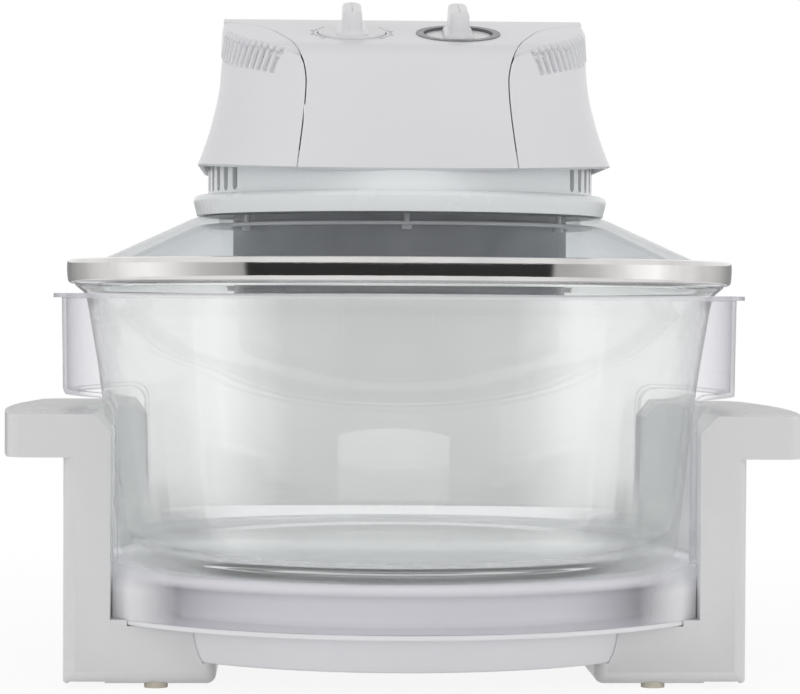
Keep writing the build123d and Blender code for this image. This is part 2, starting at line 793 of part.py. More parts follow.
gasket_outer = bowl_rim_radius - gasket_inset
lid_gasket = ring(gasket_outer, gasket_outer - 5.0, rim_z, seal_height)
lid_gasket.part.label = "lid_gasket"
export_step(lid_gasket.part, "parts/lid_gasket.step")

hub_gasket = ring(hub_radius - 3.0, hub_hole_radius + 1.0, hub_z, hub_seal)
hub_gasket.part.label = "hub_gasket"
export_step(hub_gasket.part, "parts/hub_gasket.step")

clamp_inner = drum_radius + 1.2
clamp_screw_radius = (clamp_inner + hub_hole_radius) / 2 - 0.3
clamp_screw_places = round_places(clamp_screw_radius, 6, 30.0)
clamp_thickness = 1.5
clamp_z = hub_z - cone_glass_wall - clamp_thickness
with BuildPart() as clamp_ring:
    with BuildSketch(Plane.XY.offset(clamp_z)):
        Circle(hub_radius - 5.0)
        Circle(clamp_inner, mode=Mode.SUBTRACT)
        with Locations(*clamp_screw_places):
            Circle(screw_radius + seat_gap, mode=Mode.SUBTRACT)
    extrude(amount=clamp_thickness)
clamp_ring.part.label = "clamp_ring"
export_step(clamp_ring.part, "parts/clamp_ring.step")

clamp_screws = screws(
    clamp_screw_places,
    clamp_z - screw_head_height,
    clamp_thickness + cone_glass_wall + hub_seal + 6.0,
    head_radius=2.6,
)
clamp_screws.part.label = "clamp_screws"
export_step(clamp_screws.part, "parts/clamp_screws.step")

# ======== head: the white housing on top of the lid ========

slot_angles = [slot_first + slot_pitch * i for i in range(slot_count)]
floor_hole_radius = 8.0
cover_boss_radius = 4.5
floor_boss_height = 6.0
front_boss = (0, -78.0)
rear_bosses = [(-35.0, 72.0), (35.0, 72.0)]
cheek_bosses = [(70.0, -30.0), (70.0, 30.0)]
all_bosses = [front_boss, *rear_bosses, *cheek_bosses, *[(-x, y) for x, y in cheek_bosses]]
heater_screw_places = round_places(heater_screw_radius, 3, 90.0)
bulb_place = (0, 50.5)
bulb_radius = 2.0


def head_section(height, inset):
    """One level of the head's outline, a rounded square that narrows upwards in a bell curve."""
    rise = (height - skirt_z) / head_height
    flare = (skirt_half - waist_half) * max(0.0, 1 - rise / flare_share) ** flare_power
    half = waist_half + (crown_half - waist_half) * rise + flare - inset
    return 2 * half, 2 * (half - head_depth_less), head_corner - inset


def head_body(inset, drop):
    """The head's form: lofted levels cut by the sloping control panel; inset and drop make the inside."""
    with BuildPart() as body:
        for share in loft_shares:
            level = skirt_z + share * head_height
            width, depth, corner = head_section(level, inset)
            with BuildSketch(Plane.XY.offset(level)):
                RectangleRounded(width, depth, corner)
        loft()
        with BuildSketch(Plane.YZ) as above:
            Polygon(
                (-panel_front_y - brow_set_back, skirt_z + brow_rise - drop),
                (-panel_front_y + inset, panel_front_z - drop),
                (-ridge_y, ridge_z - drop),
                (rear_y, ridge_z - rear_drop - drop),
                (skirt_half, ridge_z - back_drop - drop),
                (2 * skirt_half, ridge_z - back_drop - drop),
                (2 * skirt_half, 2 * ridge_z),
                (-2 * skirt_half, 2 * ridge_z),
                (-2 * skirt_half, skirt_z + brow_rise - drop),
                align=None,
            )
            front_corner = (-panel_front_y + inset, panel_front_z - drop)
            fillet(above.vertices().sort_by_distance((*front_corner, 0))[0], radius=panel_front_round)
            fillet(above.vertices().sort_by_distance((-ridge_y, ridge_z - drop, 0))[0], radius=ridge_round)
        extrude(amount=2 * skirt_half, both=True, mode=Mode.SUBTRACT)
    return body


panel_front_z = skirt_z + panel_front_rise
panel_front_y = head_section(panel_front_z, 0)[1] / 2
tilt = math.radians(panel_tilt)
ridge_z = panel_front_z + (panel_front_y - ridge_y) * math.tan(tilt)
panel_plane = Plane(
    origin=(
        0,
        -panel_front_y + panel_to_dial * math.cos(tilt),
        panel_front_z + panel_to_dial * math.sin(tilt),
    ),
    x_dir=(1, 0, 0),
    z_dir=(0, -math.sin(tilt), math.cos(tilt)),
)

head_outside = head_body(0, 0)
head_inside = head_body(head_wall, head_wall)
collar_limit = head_body(head_wall + seat_gap, head_wall)

with BuildPart() as collar:
    with BuildSketch(Plane.XY.offset(collar_z)):
        Circle(2 * skirt_half)
        Circle(neck_radius - head_wall, mode=Mode.SUBTRACT)
    extrude(amount=head_wall)
    add(collar_limit.part, mode=Mode.INTERSECT)

with BuildPart() as head_base:
    with BuildSketch(Plane.XZ):
        with BuildLine():
            Polyline(
                (floor_hole_radius, floor_top),
                (floor_hole_radius, neck_z),
                (clamp_inner, neck_z),
                (clamp_inner, flange_z),
                (flange_radius - 1.8, flange_z),
                (flange_radius, neck_z - 3.0),
            )
            TangentArc(
                (flange_radius, neck_z - 3.0), (flange_radius - 3.0, neck_z), tangent=(0, 1)
            )
            Polyline(
                (flange_radius - 3.0, neck_z),
                (neck_radius, neck_z),
                (neck_radius, collar_z),
                (neck_radius - head_wall, collar_z),
                (neck_radius - head_wall, floor_top),
                (floor_hole_radius, floor_top),
            )
        make_face()
    revolve(axis=Axis.Z)
    # the collar that the covers close round
    add(collar.part)
    # cooling slots with rounded lower ends, on both sides
    slot_low = neck_z + slot_rise
    for angle in slot_angles:
        for side in (-1, 1):
            turn = -90 + side * angle
            with Locations(Location((0, 0, 0), (0, 0, turn))):
                with Locations((neck_radius, 0, (slot_low + collar_z) / 2 + slot_width / 4)):
                    Box(12, slot_width, collar_z - slot_low - slot_width / 2, mode=Mode.SUBTRACT)
                with Locations((neck_radius, 0, slot_low + slot_width / 2)):
                    Cylinder(slot_width / 2, 12, rotation=(0, 90, 0), mode=Mode.SUBTRACT)
    # bosses for the cover screws, which go in from below
    with BuildSketch(Plane.XY.offset(floor_top)):
        with Locations(*all_bosses):
            Circle(cover_boss_radius)
    extrude(amount=floor_boss_height)
    with BuildSketch(Plane.XY.offset(neck_z)):
        with Locations(*all_bosses):
            Circle(screw_head_radius + seat_gap)
    extrude(amount=screw_head_height + 1.0, mode=Mode.SUBTRACT)
    with BuildSketch(Plane.XY.offset(neck_z)):
        with Locations(*all_bosses, *heater_screw_places):
            Circle(screw_radius + seat_gap)
    extrude(amount=floor_boss_height + head_wall, mode=Mode.SUBTRACT)
    with BuildSketch(Plane.XY.offset(neck_z)):
        with Locations(bulb_place):
            Circle(bulb_radius + seat_gap)
    extrude(amount=head_wall, mode=Mode.SUBTRACT)
    with BuildSketch(Plane.XY.offset(flange_z)):
        with Locations(*clamp_screw_places):
            Circle(screw_radius + slip_fit)
    extrude(amount=6.0, mode=Mode.SUBTRACT)
    with BuildSketch(Plane.XY.offset(neck_z - 6.0)):
        with Locations(*arm_screw_places):
            Circle(screw_radius + slip_fit)
    extrude(amount=6.0, mode=Mode.SUBTRACT)
head_base.part.label = "head_base"
export_step(head_base.part, "parts/head_base.step")

with BuildPart() as head_shell:
    add(head_outside.part)
    add(head_inside.part, mode=Mode.SUBTRACT)


def seam_outline(gap):
    """What the middle cover keeps, seen from the front: narrow below, spreading over the top.

    With a gap it is as much wider, which leaves the seam beside it open."""
    low = skirt_z - 10.0
    half_foot = seam_foot_half + gap
    half_waist = seam_waist_half + gap
    spread = [(half_waist + out, skirt_z + rise - gap) for out, rise in seam_spread]
    end = (skirt_half, skirt_z + seam_end_rise - gap)
    with BuildSketch(Plane.XZ) as outline:
        with BuildLine():
            Line((0, low), (half_foot, low))
            Spline((half_foot, low), (half_waist, skirt_z + seam_waist_rise), *spread, end)
            Polyline(
                end,
                (skirt_half, ridge_z + 20.0),
                (0, ridge_z + 20.0),
                (0, low),
            )
        make_face()
        mirror(about=Plane.YZ)
    return outline.sketch


dial_places = [(-dial_half_spacing, 0), (dial_half_spacing, 0)]
case_top = dial_recess + head_wall
gland_z = skirt_z + gland_rise
gland_radius = 8.0
gland_face_y = skirt_half - head_depth_less - 2.0

with BuildPart() as cover_inner_parts:
    # pads under the dials and bosses that stand on the floor bosses
    with BuildSketch(panel_plane.offset(-case_top)):
        with Locations(*dial_places):
            Circle(knob_radius + bezel_width + 3.0)
    extrude(amount=case_top)
    with BuildSketch(Plane.XY.offset(floor_top + floor_boss_height)):
        with Locations(front_boss, *rear_bosses):
            Circle(cover_boss_radius)
    extrude(amount=2 * head_height)
    with BuildSketch(Plane.XZ.offset(-gland_face_y)):
        with Locations((0, gland_z)):
            Circle(gland_radius + 6.0)
    extrude(amount=20.0)
    add(head_outside.part, mode=Mode.INTERSECT)

with BuildPart() as head_cover:
    add(head_shell.part)
    extrude(seam_outline(0), amount=2 * skirt_half, both=True, mode=Mode.INTERSECT)
    add(cover_inner_parts.part)
    # the cord inlet's flat boss at the back
    with BuildSketch(Plane.XZ.offset(-gland_face_y)):
        with Locations((0, gland_z)):
            Circle(gland_radius + 5.0)
    extrude(amount=7.0)
    with BuildSketch(Plane.XZ.offset(-gland_face_y)):
        with Locations((0, gland_z)):
            Circle(gland_radius + slip_fit)
    extrude(amount=40.0, mode=Mode.SUBTRACT)
    # recesses for the two dials, and holes for their shafts
    with BuildSketch(panel_plane):
        with Locations(*dial_places):
            Circle(knob_radius + seat_gap)
    extrude(amount=-dial_recess, mode=Mode.SUBTRACT)
    with BuildSketch(panel_plane):
        with Locations(dial_places[1]):
            Circle(knob_radius + bezel_width + slip_fit)
    extrude(amount=-(bezel_thickness - 0.4), mode=Mode.SUBTRACT)
    with BuildSketch(panel_plane):
        with Locations(*dial_places):
            Circle(control_shaft_radius + 0.6)
    extrude(amount=-(case_top + 1.0), mode=Mode.SUBTRACT)
    with BuildSketch(Plane.XY.offset(floor_top + floor_boss_height)):
        with Locations(front_boss, *rear_bosses):
            Circle(screw_radius + slip_fit)
    extrude(amount=10.0, mode=Mode.SUBTRACT)
head_cover.part.label = "head_cover"
export_step(head_cover.part, "parts/head_cover.step")

corner_x = head_section(panel_front_z, 0)[0] / 2 - head_corner
corner_y = head_section(panel_front_z, 0)[1] / 2 - head_corner
lean = math.radians(groove_lean)

with BuildPart() as cheek_posts:
    with BuildSketch(Plane.XY.offset(floor_top + floor_boss_height)):
        with Locations(*cheek_bosses):
            Circle(cover_boss_radius)
    extrude(amount=2 * head_height)
    # a web ties each post to the cheek's side
    with BuildSketch(Plane.XY.offset(collar_z + head_wall + 1.0)):
        with Locations(*[((x + waist_half) / 2, y) for x, y in cheek_bosses]):
            Rectangle(waist_half - cheek_bosses[0][0], head_wall)
    extrude(amount=2 * head_height)
    add(head_outside.part, mode=Mode.INTERSECT)
    extrude(seam_outline(seam_gap), amount=2 * skirt_half, both=True, mode=Mode.SUBTRACT)

with BuildPart() as right_cheek:
    add(head_shell.part)
    extrude(seam_outline(seam_gap), amount=2 * skirt_half, both=True, mode=Mode.SUBTRACT)
    with Locations((2 * skirt_half, 0, ridge_z)):
        Box(4 * skirt_half, 4 * skirt_half, 4 * head_height, mode=Mode.INTERSECT)
    add(cheek_posts.part)
    with BuildSketch(Plane.XY.offset(floor_top + floor_boss_height)):
        with Locations(*cheek_bosses):
            Circle(screw_radius + slip_fit)
    extrude(amount=10.0, mode=Mode.SUBTRACT)
    # grooves over the corner's upper edge
    for i in range(groove_count):
        angle = math.radians(groove_first + groove_pitch * i)
        out_x, out_y = math.sin(angle), -math.cos(angle)
        edge_x = corner_x + head_corner * out_x
        edge_y = -corner_y + head_corner * out_y
        edge_z = panel_front_z + (edge_y + panel_front_y) * math.tan(tilt)
        down = Plane(
            origin=(edge_x, edge_y, edge_z),
            x_dir=(out_x, out_y, 0),
            z_dir=(-out_x * math.sin(lean), -out_y * math.sin(lean), math.cos(lean)),
        )
        with Locations(down.location):
            with Locations((groove_cut / 2 - groove_depth, 0, -groove_length / 2)):
                Box(groove_cut, groove_width, groove_length, mode=Mode.SUBTRACT)
            with Locations((-groove_cut / 3, 0, groove_cut / 3 - groove_depth)):
                Box(groove_cut * 4 / 3, groove_width, groove_cut * 2 / 3, mode=Mode.SUBTRACT)
right_cheek.part.label = "right_cheek"
export_step(right_cheek.part, "parts/right_cheek.step")

with BuildPart() as left_cheek:
    add(right_cheek.part)
    mirror(about=Plane.YZ, mode=Mode.REPLACE)
left_cheek.part.label = "left_cheek"
export_step(left_cheek.part, "parts/left_cheek.step")

cover_screws = screws(all_bosses, neck_z + 1.0, floor_boss_height + 6.0)
cover_screws.part.label = "cover_screws"
export_step(cover_screws.part, "parts/cover_screws.step")

with BuildPart() as arm_screws:
    with BuildSketch(Plane.XY.offset(neck_z - 5.0)):
        with Locations(*arm_screw_places):
            Circle(screw_radius)
    extrude(amount=9.0)
arm_screws.part.label = "arm_screws"
export_step(arm_screws.part, "parts/arm_screws.step")

with BuildPart() as cord_inlet_gland:
    with BuildSketch(Plane.XZ.offset(-gland_face_y - 2.0)):
        with Locations((0, gland_z)):
            Circle(gland_radius + 3.0)
    extrude(amount=2.0)
    with BuildSketch(Plane.XZ.offset(-gland_face_y)):
        with Locations((0, gland_z)):
            Circle(gland_radius)
    extrude(amount=14.0)
    with BuildSketch(Plane.XZ.offset(-gland_face_y - 2.0)):
        with Locations((0, gland_z)):
            Circle(gland_radius - 4.0)
    extrude(amount=16.0, mode=Mode.SUBTRACT)
cord_inlet_gland.part.label = "cord_inlet_gland"
export_step(cord_inlet_gland.part, "parts/cord_inlet_gland.step")

# ======== dials ========


def knob(place, disc_low, disc_high):
    """A dial: a disc with a tall blade across it that has a flared foot."""
    with BuildPart() as made:
        with BuildSketch(panel_plane.offset(disc_low)):
            with Locations(place):
                Circle(knob_radius - seat_gap)
        extrude(amount=disc_high - disc_low)
        with BuildSketch(panel_plane.offset(disc_high)):
            with Locations(place):
                SlotOverall(2 * knob_radius - 3.0, knob_blade_width, rotation=90)
        extrude(amount=knob_blade_height - disc_high)
        top_edges = made.faces().sort_by(Axis((0, 0, 0), panel_plane.z_dir))[-1].edges()
        fillet(top_edges, radius=1.6)
        foot_edges = made.edges().filter_by(
            lambda e: abs(panel_plane.to_local_coords(e.center()).Z - disc_high) < 0.01
        )
        inner_foot = [e for e in foot_edges if e.geom_type == GeomType.LINE]
        fillet(inner_foot, radius=2.2)
        with BuildSketch(panel_plane.offset(disc_low)):
            with Locations(place):
                Circle(control_shaft_radius)
        extrude(amount=3.0, mode=Mode.SUBTRACT)
    return made


thermostat_knob = knob(dial_places[0], -dial_recess + 1.0, 1.0)
thermostat_knob.part.label = "thermostat_knob"
export_step(thermostat_knob.part, "parts/thermostat_knob.step")

timer_knob = knob(dial_places[1], -dial_recess + 0.5, -0.8)
timer_knob.part.label = "timer_knob"
export_step(timer_knob.part, "parts/timer_knob.step")


def control_shaft(place, top):
    """The steel spindle that a dial sits on."""
    with BuildPart() as made:
        with BuildSketch(panel_plane.offset(top)):
            with Locations(place):
                Circle(control_shaft_radius)
        extrude(amount=-control_shaft_length)
    return made


thermostat_shaft = control_shaft(dial_places[0], -dial_recess + 1.0 + 3.0)
thermostat_shaft.part.label = "thermostat_shaft"
export_step(thermostat_shaft.part, "parts/thermostat_shaft.step")

timer_shaft = control_shaft(dial_places[1], -dial_recess + 0.5 + 3.0)
timer_shaft.part.label = "timer_shaft"
export_step(timer_shaft.part, "parts/timer_shaft.step")


def control_case(place, radius, depth):
    """A round control under the panel, with a bore that its spindle turns in."""
    with BuildPart() as made:
        with BuildSketch(panel_plane.offset(-case_top)):
            with Locations(place):
                Circle(radius)
        extrude(amount=-depth)
        with BuildSketch(panel_plane.offset(-case_top)):
            with Locations(place):
                Circle(control_shaft_radius + slip_fit)
        extrude(amount=-control_shaft_length, mode=Mode.SUBTRACT)
    return made


timer_unit = control_case(dial_places[1], timer_case_radius, timer_case_depth)
timer_unit.part.label = "timer_unit"
export_step(timer_unit.part, "parts/timer_unit.step")

thermostat_unit = control_case(dial_places[0], thermostat_case_radius, thermostat_case_depth)
thermostat_unit.part.label = "thermostat_unit"
export_step(thermostat_unit.part, "parts/thermostat_unit.step")

with BuildPart() as timer_bezel:
    with BuildSketch(panel_plane.offset(-(bezel_thickness - 0.4))):
        with Locations(dial_places[1]):
            Circle(knob_radius + bezel_width)
            Circle(knob_radius + seat_gap, mode=Mode.SUBTRACT)
    extrude(amount=bezel_thickness)
timer_bezel.part.label = "timer_bezel"
export_step(timer_bezel.part, "parts/timer_bezel.step")

# ======== heater stack, hung under the head's floor ========

stack_radius = drum_radius - sheet_metal
insulation_z = neck_z - insulation_height
shield_z = insulation_z - sheet_metal
drum_top = shield_z
roof_z = drum_top - sheet_metal
drum_low = drum_top - drum_depth


def stack_disc(radius, low, thickness):
    """A disc of the heater stack, with the holes for the shaft, the screws and the sensor."""
    with BuildPart() as made:
        with BuildSketch(Plane.XY.offset(low)):
            Circle(radius)
            Circle(floor_hole_radius, mode=Mode.SUBTRACT)
            with Locations(*heater_screw_places):
                Circle(screw_radius + seat_gap, mode=Mode.SUBTRACT)
            with Locations(bulb_place):
                Circle(bulb_radius + seat_gap, mode=Mode.SUBTRACT)
        extrude(amount=thickness)
    return made


insulation_disc = stack_disc(stack_radius, insulation_z, insulation_height)
insulation_disc.part.label = "insulation_disc"
export_step(insulation_disc.part, "parts/insulation_disc.step")

heat_shield = stack_disc(stack_radius, shield_z, sheet_metal)
heat_shield.part.label = "heat_shield"
export_step(heat_shield.part, "parts/heat_shield.step")

heater_drum_roof = stack_disc(drum_radius, roof_z, sheet_metal)
with BuildPart() as heater_drum:
    add(heater_drum_roof.part)
    with BuildSketch(Plane.XY.offset(drum_low)):
        Circle(drum_radius)
        Circle(drum_radius - sheet_metal, mode=Mode.SUBTRACT)
    extrude(amount=drum_depth)
heater_drum.part.label = "heater_drum"
export_step(heater_drum.part, "parts/heater_drum.step")

reflector_flat = lamp_radius + 8.0
reflector_low = roof_z - reflector_depth
with BuildPart() as reflector:
    with BuildSketch(Plane.XZ):
        Polygon(
            (floor_hole_radius, roof_z),
            (reflector_flat, roof_z),
            (stack_radius - curve_gap, reflector_low),
            (stack_radius - curve_gap - 1.0, reflector_low),
            (reflector_flat - 0.5, roof_z - sheet_metal),
            (floor_hole_radius, roof_z - sheet_metal),
            align=None,
        )
    revolve(axis=Axis.Z)
    with BuildSketch(Plane.XY.offset(roof_z - sheet_metal)):
        with Locations(*heater_screw_places):
            Circle(screw_radius + seat_gap)
        with Locations(bulb_place):
            Circle(bulb_radius + seat_gap)
    extrude(amount=sheet_metal, mode=Mode.SUBTRACT)
reflector.part.label = "reflector"
export_step(reflector.part, "parts/reflector.step")

stack_screw_length = sheet_metal * 3 + insulation_height + 2.0
heater_screws = screws(heater_screw_places, roof_z - sheet_metal - screw_head_height, stack_screw_length)
heater_screws.part.label = "heater_screws"
export_step(heater_screws.part, "parts/heater_screws.step")

lamp_z = roof_z - lamp_drop
lamp_arc = 360.0 - lamp_gap_angle
half_gap = math.radians(lamp_gap_angle / 2)


def lamp_sweep(outer, inner):
    """A hollow or solid round bar bent along the lamp's circle, open at the front."""
    start = Plane(
        origin=(0, 0, lamp_z),
        x_dir=(math.sin(half_gap), -math.cos(half_gap), 0),
        z_dir=(-math.cos(half_gap), -math.sin(half_gap), 0),
    )
    with BuildPart() as made:
        with BuildSketch(start):
            with Locations((lamp_radius, 0)):
                Circle(outer)
                if inner > 0:
                    Circle(inner, mode=Mode.SUBTRACT)
        revolve(axis=Axis.Z, revolution_arc=lamp_arc)
    return made


halogen_tube = lamp_sweep(lamp_tube_radius, lamp_tube_radius - lamp_tube_wall)
halogen_tube.part.label = "halogen_tube"
export_step(halogen_tube.part, "parts/halogen_tube.step")

lamp_filament = lamp_sweep(filament_radius, 0)
lamp_filament.part.label = "lamp_filament"
export_step(lamp_filament.part, "parts/lamp_filament.step")

holder_length = 9.0
with BuildPart() as lamp_holders:
    for side in (-1, 1):
        end_x = side * lamp_radius * math.sin(half_gap)
        end_y = -lamp_radius * math.cos(half_gap)
        end_plane = Plane(
            origin=(end_x, end_y, lamp_z),
            x_dir=(math.sin(half_gap) * side, -math.cos(half_gap), 0),
            z_dir=(-side * math.cos(half_gap), -math.sin(half_gap), 0),
        )
        with BuildSketch(end_plane):
            Circle(lamp_tube_radius + 1.0)
        extrude(amount=holder_length)
        with BuildSketch(end_plane.offset(1.0)):
            with Locations((0, side * (roof_z - sheet_metal - lamp_z) / 2)):
                Rectangle(7.0, roof_z - sheet_metal - lamp_z)
        extrude(amount=holder_length - 2.0)
lamp_holders.part.label = "lamp_holders"
export_step(lamp_holders.part, "parts/lamp_holders.step")

# spring clips that carry the lamp's far side, each a strip bent round under the tube
clip_width = 6.0
clip_metal = 1.0
clip_inner = lamp_tube_radius + seat_gap
clip_rise = roof_z - sheet_metal - lamp_z
with BuildPart() as lamp_clips:
    for angle in (30.0, 150.0):
        outward = (math.cos(math.radians(angle)), math.sin(math.radians(angle)), 0)
        across = (outward[1], -outward[0], 0)
        clip_origin = (lamp_radius * outward[0], lamp_radius * outward[1], lamp_z)
        with BuildSketch(Plane(origin=clip_origin, x_dir=outward, z_dir=across)):
            Circle(clip_inner + clip_metal)
            with Locations((0, clip_rise / 2)):
                Rectangle(2 * (clip_inner + clip_metal), clip_rise)
            Circle(clip_inner, mode=Mode.SUBTRACT)
            with Locations((0, clip_rise / 2)):
                Rectangle(2 * clip_inner, clip_rise, mode=Mode.SUBTRACT)
        extrude(amount=clip_width / 2, both=True)
lamp_clips.part.label = "lamp_clips"
export_step(lamp_clips.part, "parts/lamp_clips.step")

# the wire guard across the drum's open bottom
guard_z = drum_low + 3.0
guard_outer = drum_radius - sheet_metal - guard_wire - 0.15
guard_rings = [guard_outer, 66.0, 52.0, 38.0, 24.0, 10.0]
guard_spokes = 4
guard_weld = 0.4
spoke_z = guard_z + 2 * guard_wire - guard_weld
with BuildPart() as guard_grille:
    for radius in guard_rings:
        with BuildSketch(Plane.XZ):
            with Locations((radius, guard_z)):
                Circle(guard_wire)
        revolve(axis=Axis.Z)
    for spoke in range(guard_spokes):
        angle = math.radians(22.5 + 180.0 / guard_spokes * spoke)
        with BuildSketch(Plane((0, 0, spoke_z), z_dir=(math.cos(angle), math.sin(angle), 0))):
            Circle(guard_wire)
        extrude(amount=guard_outer, both=True)
guard_grille.part.label = "guard_grille"
export_step(guard_grille.part, "parts/guard_grille.step")

bulb_low = lamp_z - 4.0
with BuildPart() as sensor_bulb:
    with BuildSketch(Plane.XY.offset(bulb_low)):
        with Locations(bulb_place):
            Circle(bulb_radius)
    extrude(amount=floor_top + 2.0 - bulb_low)
    with BuildSketch(Plane.XY.offset(floor_top)):
        with Locations(bulb_place):
            Circle(bulb_radius + 2.0)
    extrude(amount=2.0)
sensor_bulb.part.label = "sensor_bulb"
export_step(sensor_bulb.part, "parts/sensor_bulb.step")

# ======== fans, their shaft and the motor ========

bracket_z = floor_top + bracket_height
bracket_thickness = 2.0
motor_z = bracket_z + bracket_thickness
bush_length = 5.0
bush_wall = 3.0
cooling_fan_z = floor_top + 9.0
convection_fan_z = lamp_z - 2.0
shaft_low = convection_fan_z - 5.0

with BuildPart() as motor_bracket:
    with BuildSketch(Plane.XY.offset(bracket_z)):
        SlotOverall(2 * standoff_x + 12.0, 20.0)
        Circle(motor_radius)
        Circle(fan_shaft_radius + 3.0, mode=Mode.SUBTRACT)
    extrude(amount=bracket_thickness)
    with BuildSketch(Plane.XY.offset(floor_top)):
        with Locations((-standoff_x, 0), (standoff_x, 0)):
            Circle(4.0)
    extrude(amount=bracket_height)
motor_bracket.part.label = "motor_bracket"
export_step(motor_bracket.part, "parts/motor_bracket.step")

with BuildPart() as fan_motor:
    with BuildSketch(Plane.XY.offset(motor_z)):
        Circle(motor_radius)
    extrude(amount=motor_height)
    fillet(fan_motor.faces().sort_by(Axis.Z)[-1].edges(), radius=3.0)
    with BuildSketch(Plane.XY.offset(motor_z)):
        Circle(fan_shaft_radius + bush_wall)
    extrude(amount=motor_height, mode=Mode.SUBTRACT)
fan_motor.part.label = "fan_motor"
export_step(fan_motor.part, "parts/fan_motor.step")

with BuildPart() as shaft_bushes:
    for low in (motor_z, motor_z + motor_height - bush_length):
        with BuildSketch(Plane.XY.offset(low)):
            Circle(fan_shaft_radius + bush_wall)
            Circle(fan_shaft_radius + slip_fit, mode=Mode.SUBTRACT)
        extrude(amount=bush_length)
shaft_bushes.part.label = "shaft_bushes"
export_step(shaft_bushes.part, "parts/shaft_bushes.step")

with BuildPart() as motor_shaft:
    with BuildSketch(Plane.XY.offset(shaft_low)):
        Circle(fan_shaft_radius)
    extrude(amount=motor_z + motor_height + 2.0 - shaft_low)
motor_shaft.part.label = "motor_shaft"
export_step(motor_shaft.part, "parts/motor_shaft.step")


def fan(low, tip_radius, blades, blade_turn, disc_on_top):
    """A radial fan: a hub on the shaft, a backing disc and upright blades."""
    hub_radius_here = fan_shaft_radius + 4.0
    with BuildPart() as made:
        disc_low = low + fan_blade_height if disc_on_top else low
        with BuildSketch(Plane.XY.offset(disc_low)):
            Circle(tip_radius)
        extrude(amount=1.0)
        with BuildSketch(Plane.XY.offset(low)):
            Circle(hub_radius_here)
        extrude(amount=fan_blade_height + 1.0)
        blade_low = low if disc_on_top else low + 1.0
        with PolarLocations(0, blades):
            middle = (hub_radius_here + tip_radius) / 2 - 0.5
            length = tip_radius - hub_radius_here - 1.0
            with Locations(Location((middle, 0, blade_low + fan_blade_height / 2), (0, 0, blade_turn))):
                Box(length, 1.2, fan_blade_height)
        with BuildSketch(Plane.XY.offset(low)):
            Circle(fan_shaft_radius)
        extrude(amount=fan_blade_height + 1.0, mode=Mode.SUBTRACT)
    return made


convection_fan = fan(convection_fan_z, convection_fan_radius, 8, 8.0, True)
convection_fan.part.label = "convection_fan"
export_step(convection_fan.part, "parts/convection_fan.step")

cooling_fan = fan(cooling_fan_z, cooling_fan_radius, 10, 10.0, False)
cooling_fan.part.label = "cooling_fan"
export_step(cooling_fan.part, "parts/cooling_fan.step")

with BuildPart() as fan_nut:
    with BuildSketch(Plane.XY.offset(convection_fan_z - 4.0)):
        RegularPolygon(fan_shaft_radius + 2.6, 6)
        Circle(fan_shaft_radius, mode=Mode.SUBTRACT)
    extrude(amount=4.0)
fan_nut.part.label = "fan_nut"
export_step(fan_nut.part, "parts/fan_nut.step")

# ======== switches and wiring blocks on the head's floor ========

with BuildPart() as tilt_switch:
    with BuildSketch(Plane.XY.offset(floor_top)):
        with Locations((-58.0, 44.0)):
            RectangleRounded(26.0, 16.0, 2.0)
    extrude(amount=14.0)
tilt_switch.part.label = "tilt_switch"
export_step(tilt_switch.part, "parts/tilt_switch.step")

with BuildPart() as thermal_cutout:
    with BuildSketch(Plane.XY.offset(floor_top)):
        with Locations((38.0, -58.0)):
            Circle(8.0)
    extrude(amount=5.0)
    with BuildSketch(Plane.XY.offset(floor_top + 5.0)):
        with Locations((38.0, -58.0)):
            Rectangle(20.0, 6.0)
    extrude(amount=1.0)
thermal_cutout.part.label = "thermal_cutout"
export_step(thermal_cutout.part, "parts/thermal_cutout.step")

with BuildPart() as terminal_block:
    with BuildSketch(Plane.XY.offset(floor_top)):
        with Locations((0, gland_face_y - terminal_set_back)):
            Rectangle(36.0, 14.0)
    extrude(amount=10.0)
    with BuildSketch(Plane.XY.offset(floor_top + 10.0)):
        with Locations((0, gland_face_y - terminal_set_back)):
            with GridLocations(11.0, 1.0, 3, 1):
                Circle(2.2)
    extrude(amount=-4.0, mode=Mode.SUBTRACT)
terminal_block.part.label = "terminal_block"
export_step(terminal_block.part, "parts/terminal_block.step")
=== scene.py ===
import math

import bmesh
import bpy
from mathutils import Matrix, Vector


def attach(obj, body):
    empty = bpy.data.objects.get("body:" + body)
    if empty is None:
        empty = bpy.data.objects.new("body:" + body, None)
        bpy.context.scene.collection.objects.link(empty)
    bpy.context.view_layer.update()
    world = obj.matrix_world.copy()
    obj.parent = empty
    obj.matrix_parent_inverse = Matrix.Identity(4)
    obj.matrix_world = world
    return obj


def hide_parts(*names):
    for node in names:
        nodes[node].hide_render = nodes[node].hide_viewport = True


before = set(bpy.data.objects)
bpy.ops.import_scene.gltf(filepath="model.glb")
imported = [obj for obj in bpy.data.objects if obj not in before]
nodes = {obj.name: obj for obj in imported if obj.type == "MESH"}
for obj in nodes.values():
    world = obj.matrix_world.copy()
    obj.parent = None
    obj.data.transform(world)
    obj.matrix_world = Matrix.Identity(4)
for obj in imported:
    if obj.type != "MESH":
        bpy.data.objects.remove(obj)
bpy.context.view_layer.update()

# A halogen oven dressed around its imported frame: metres, +Z up, the dials at the front on -Y.

mm = 0.001
print("frame loaded:", len(nodes), "nodes")


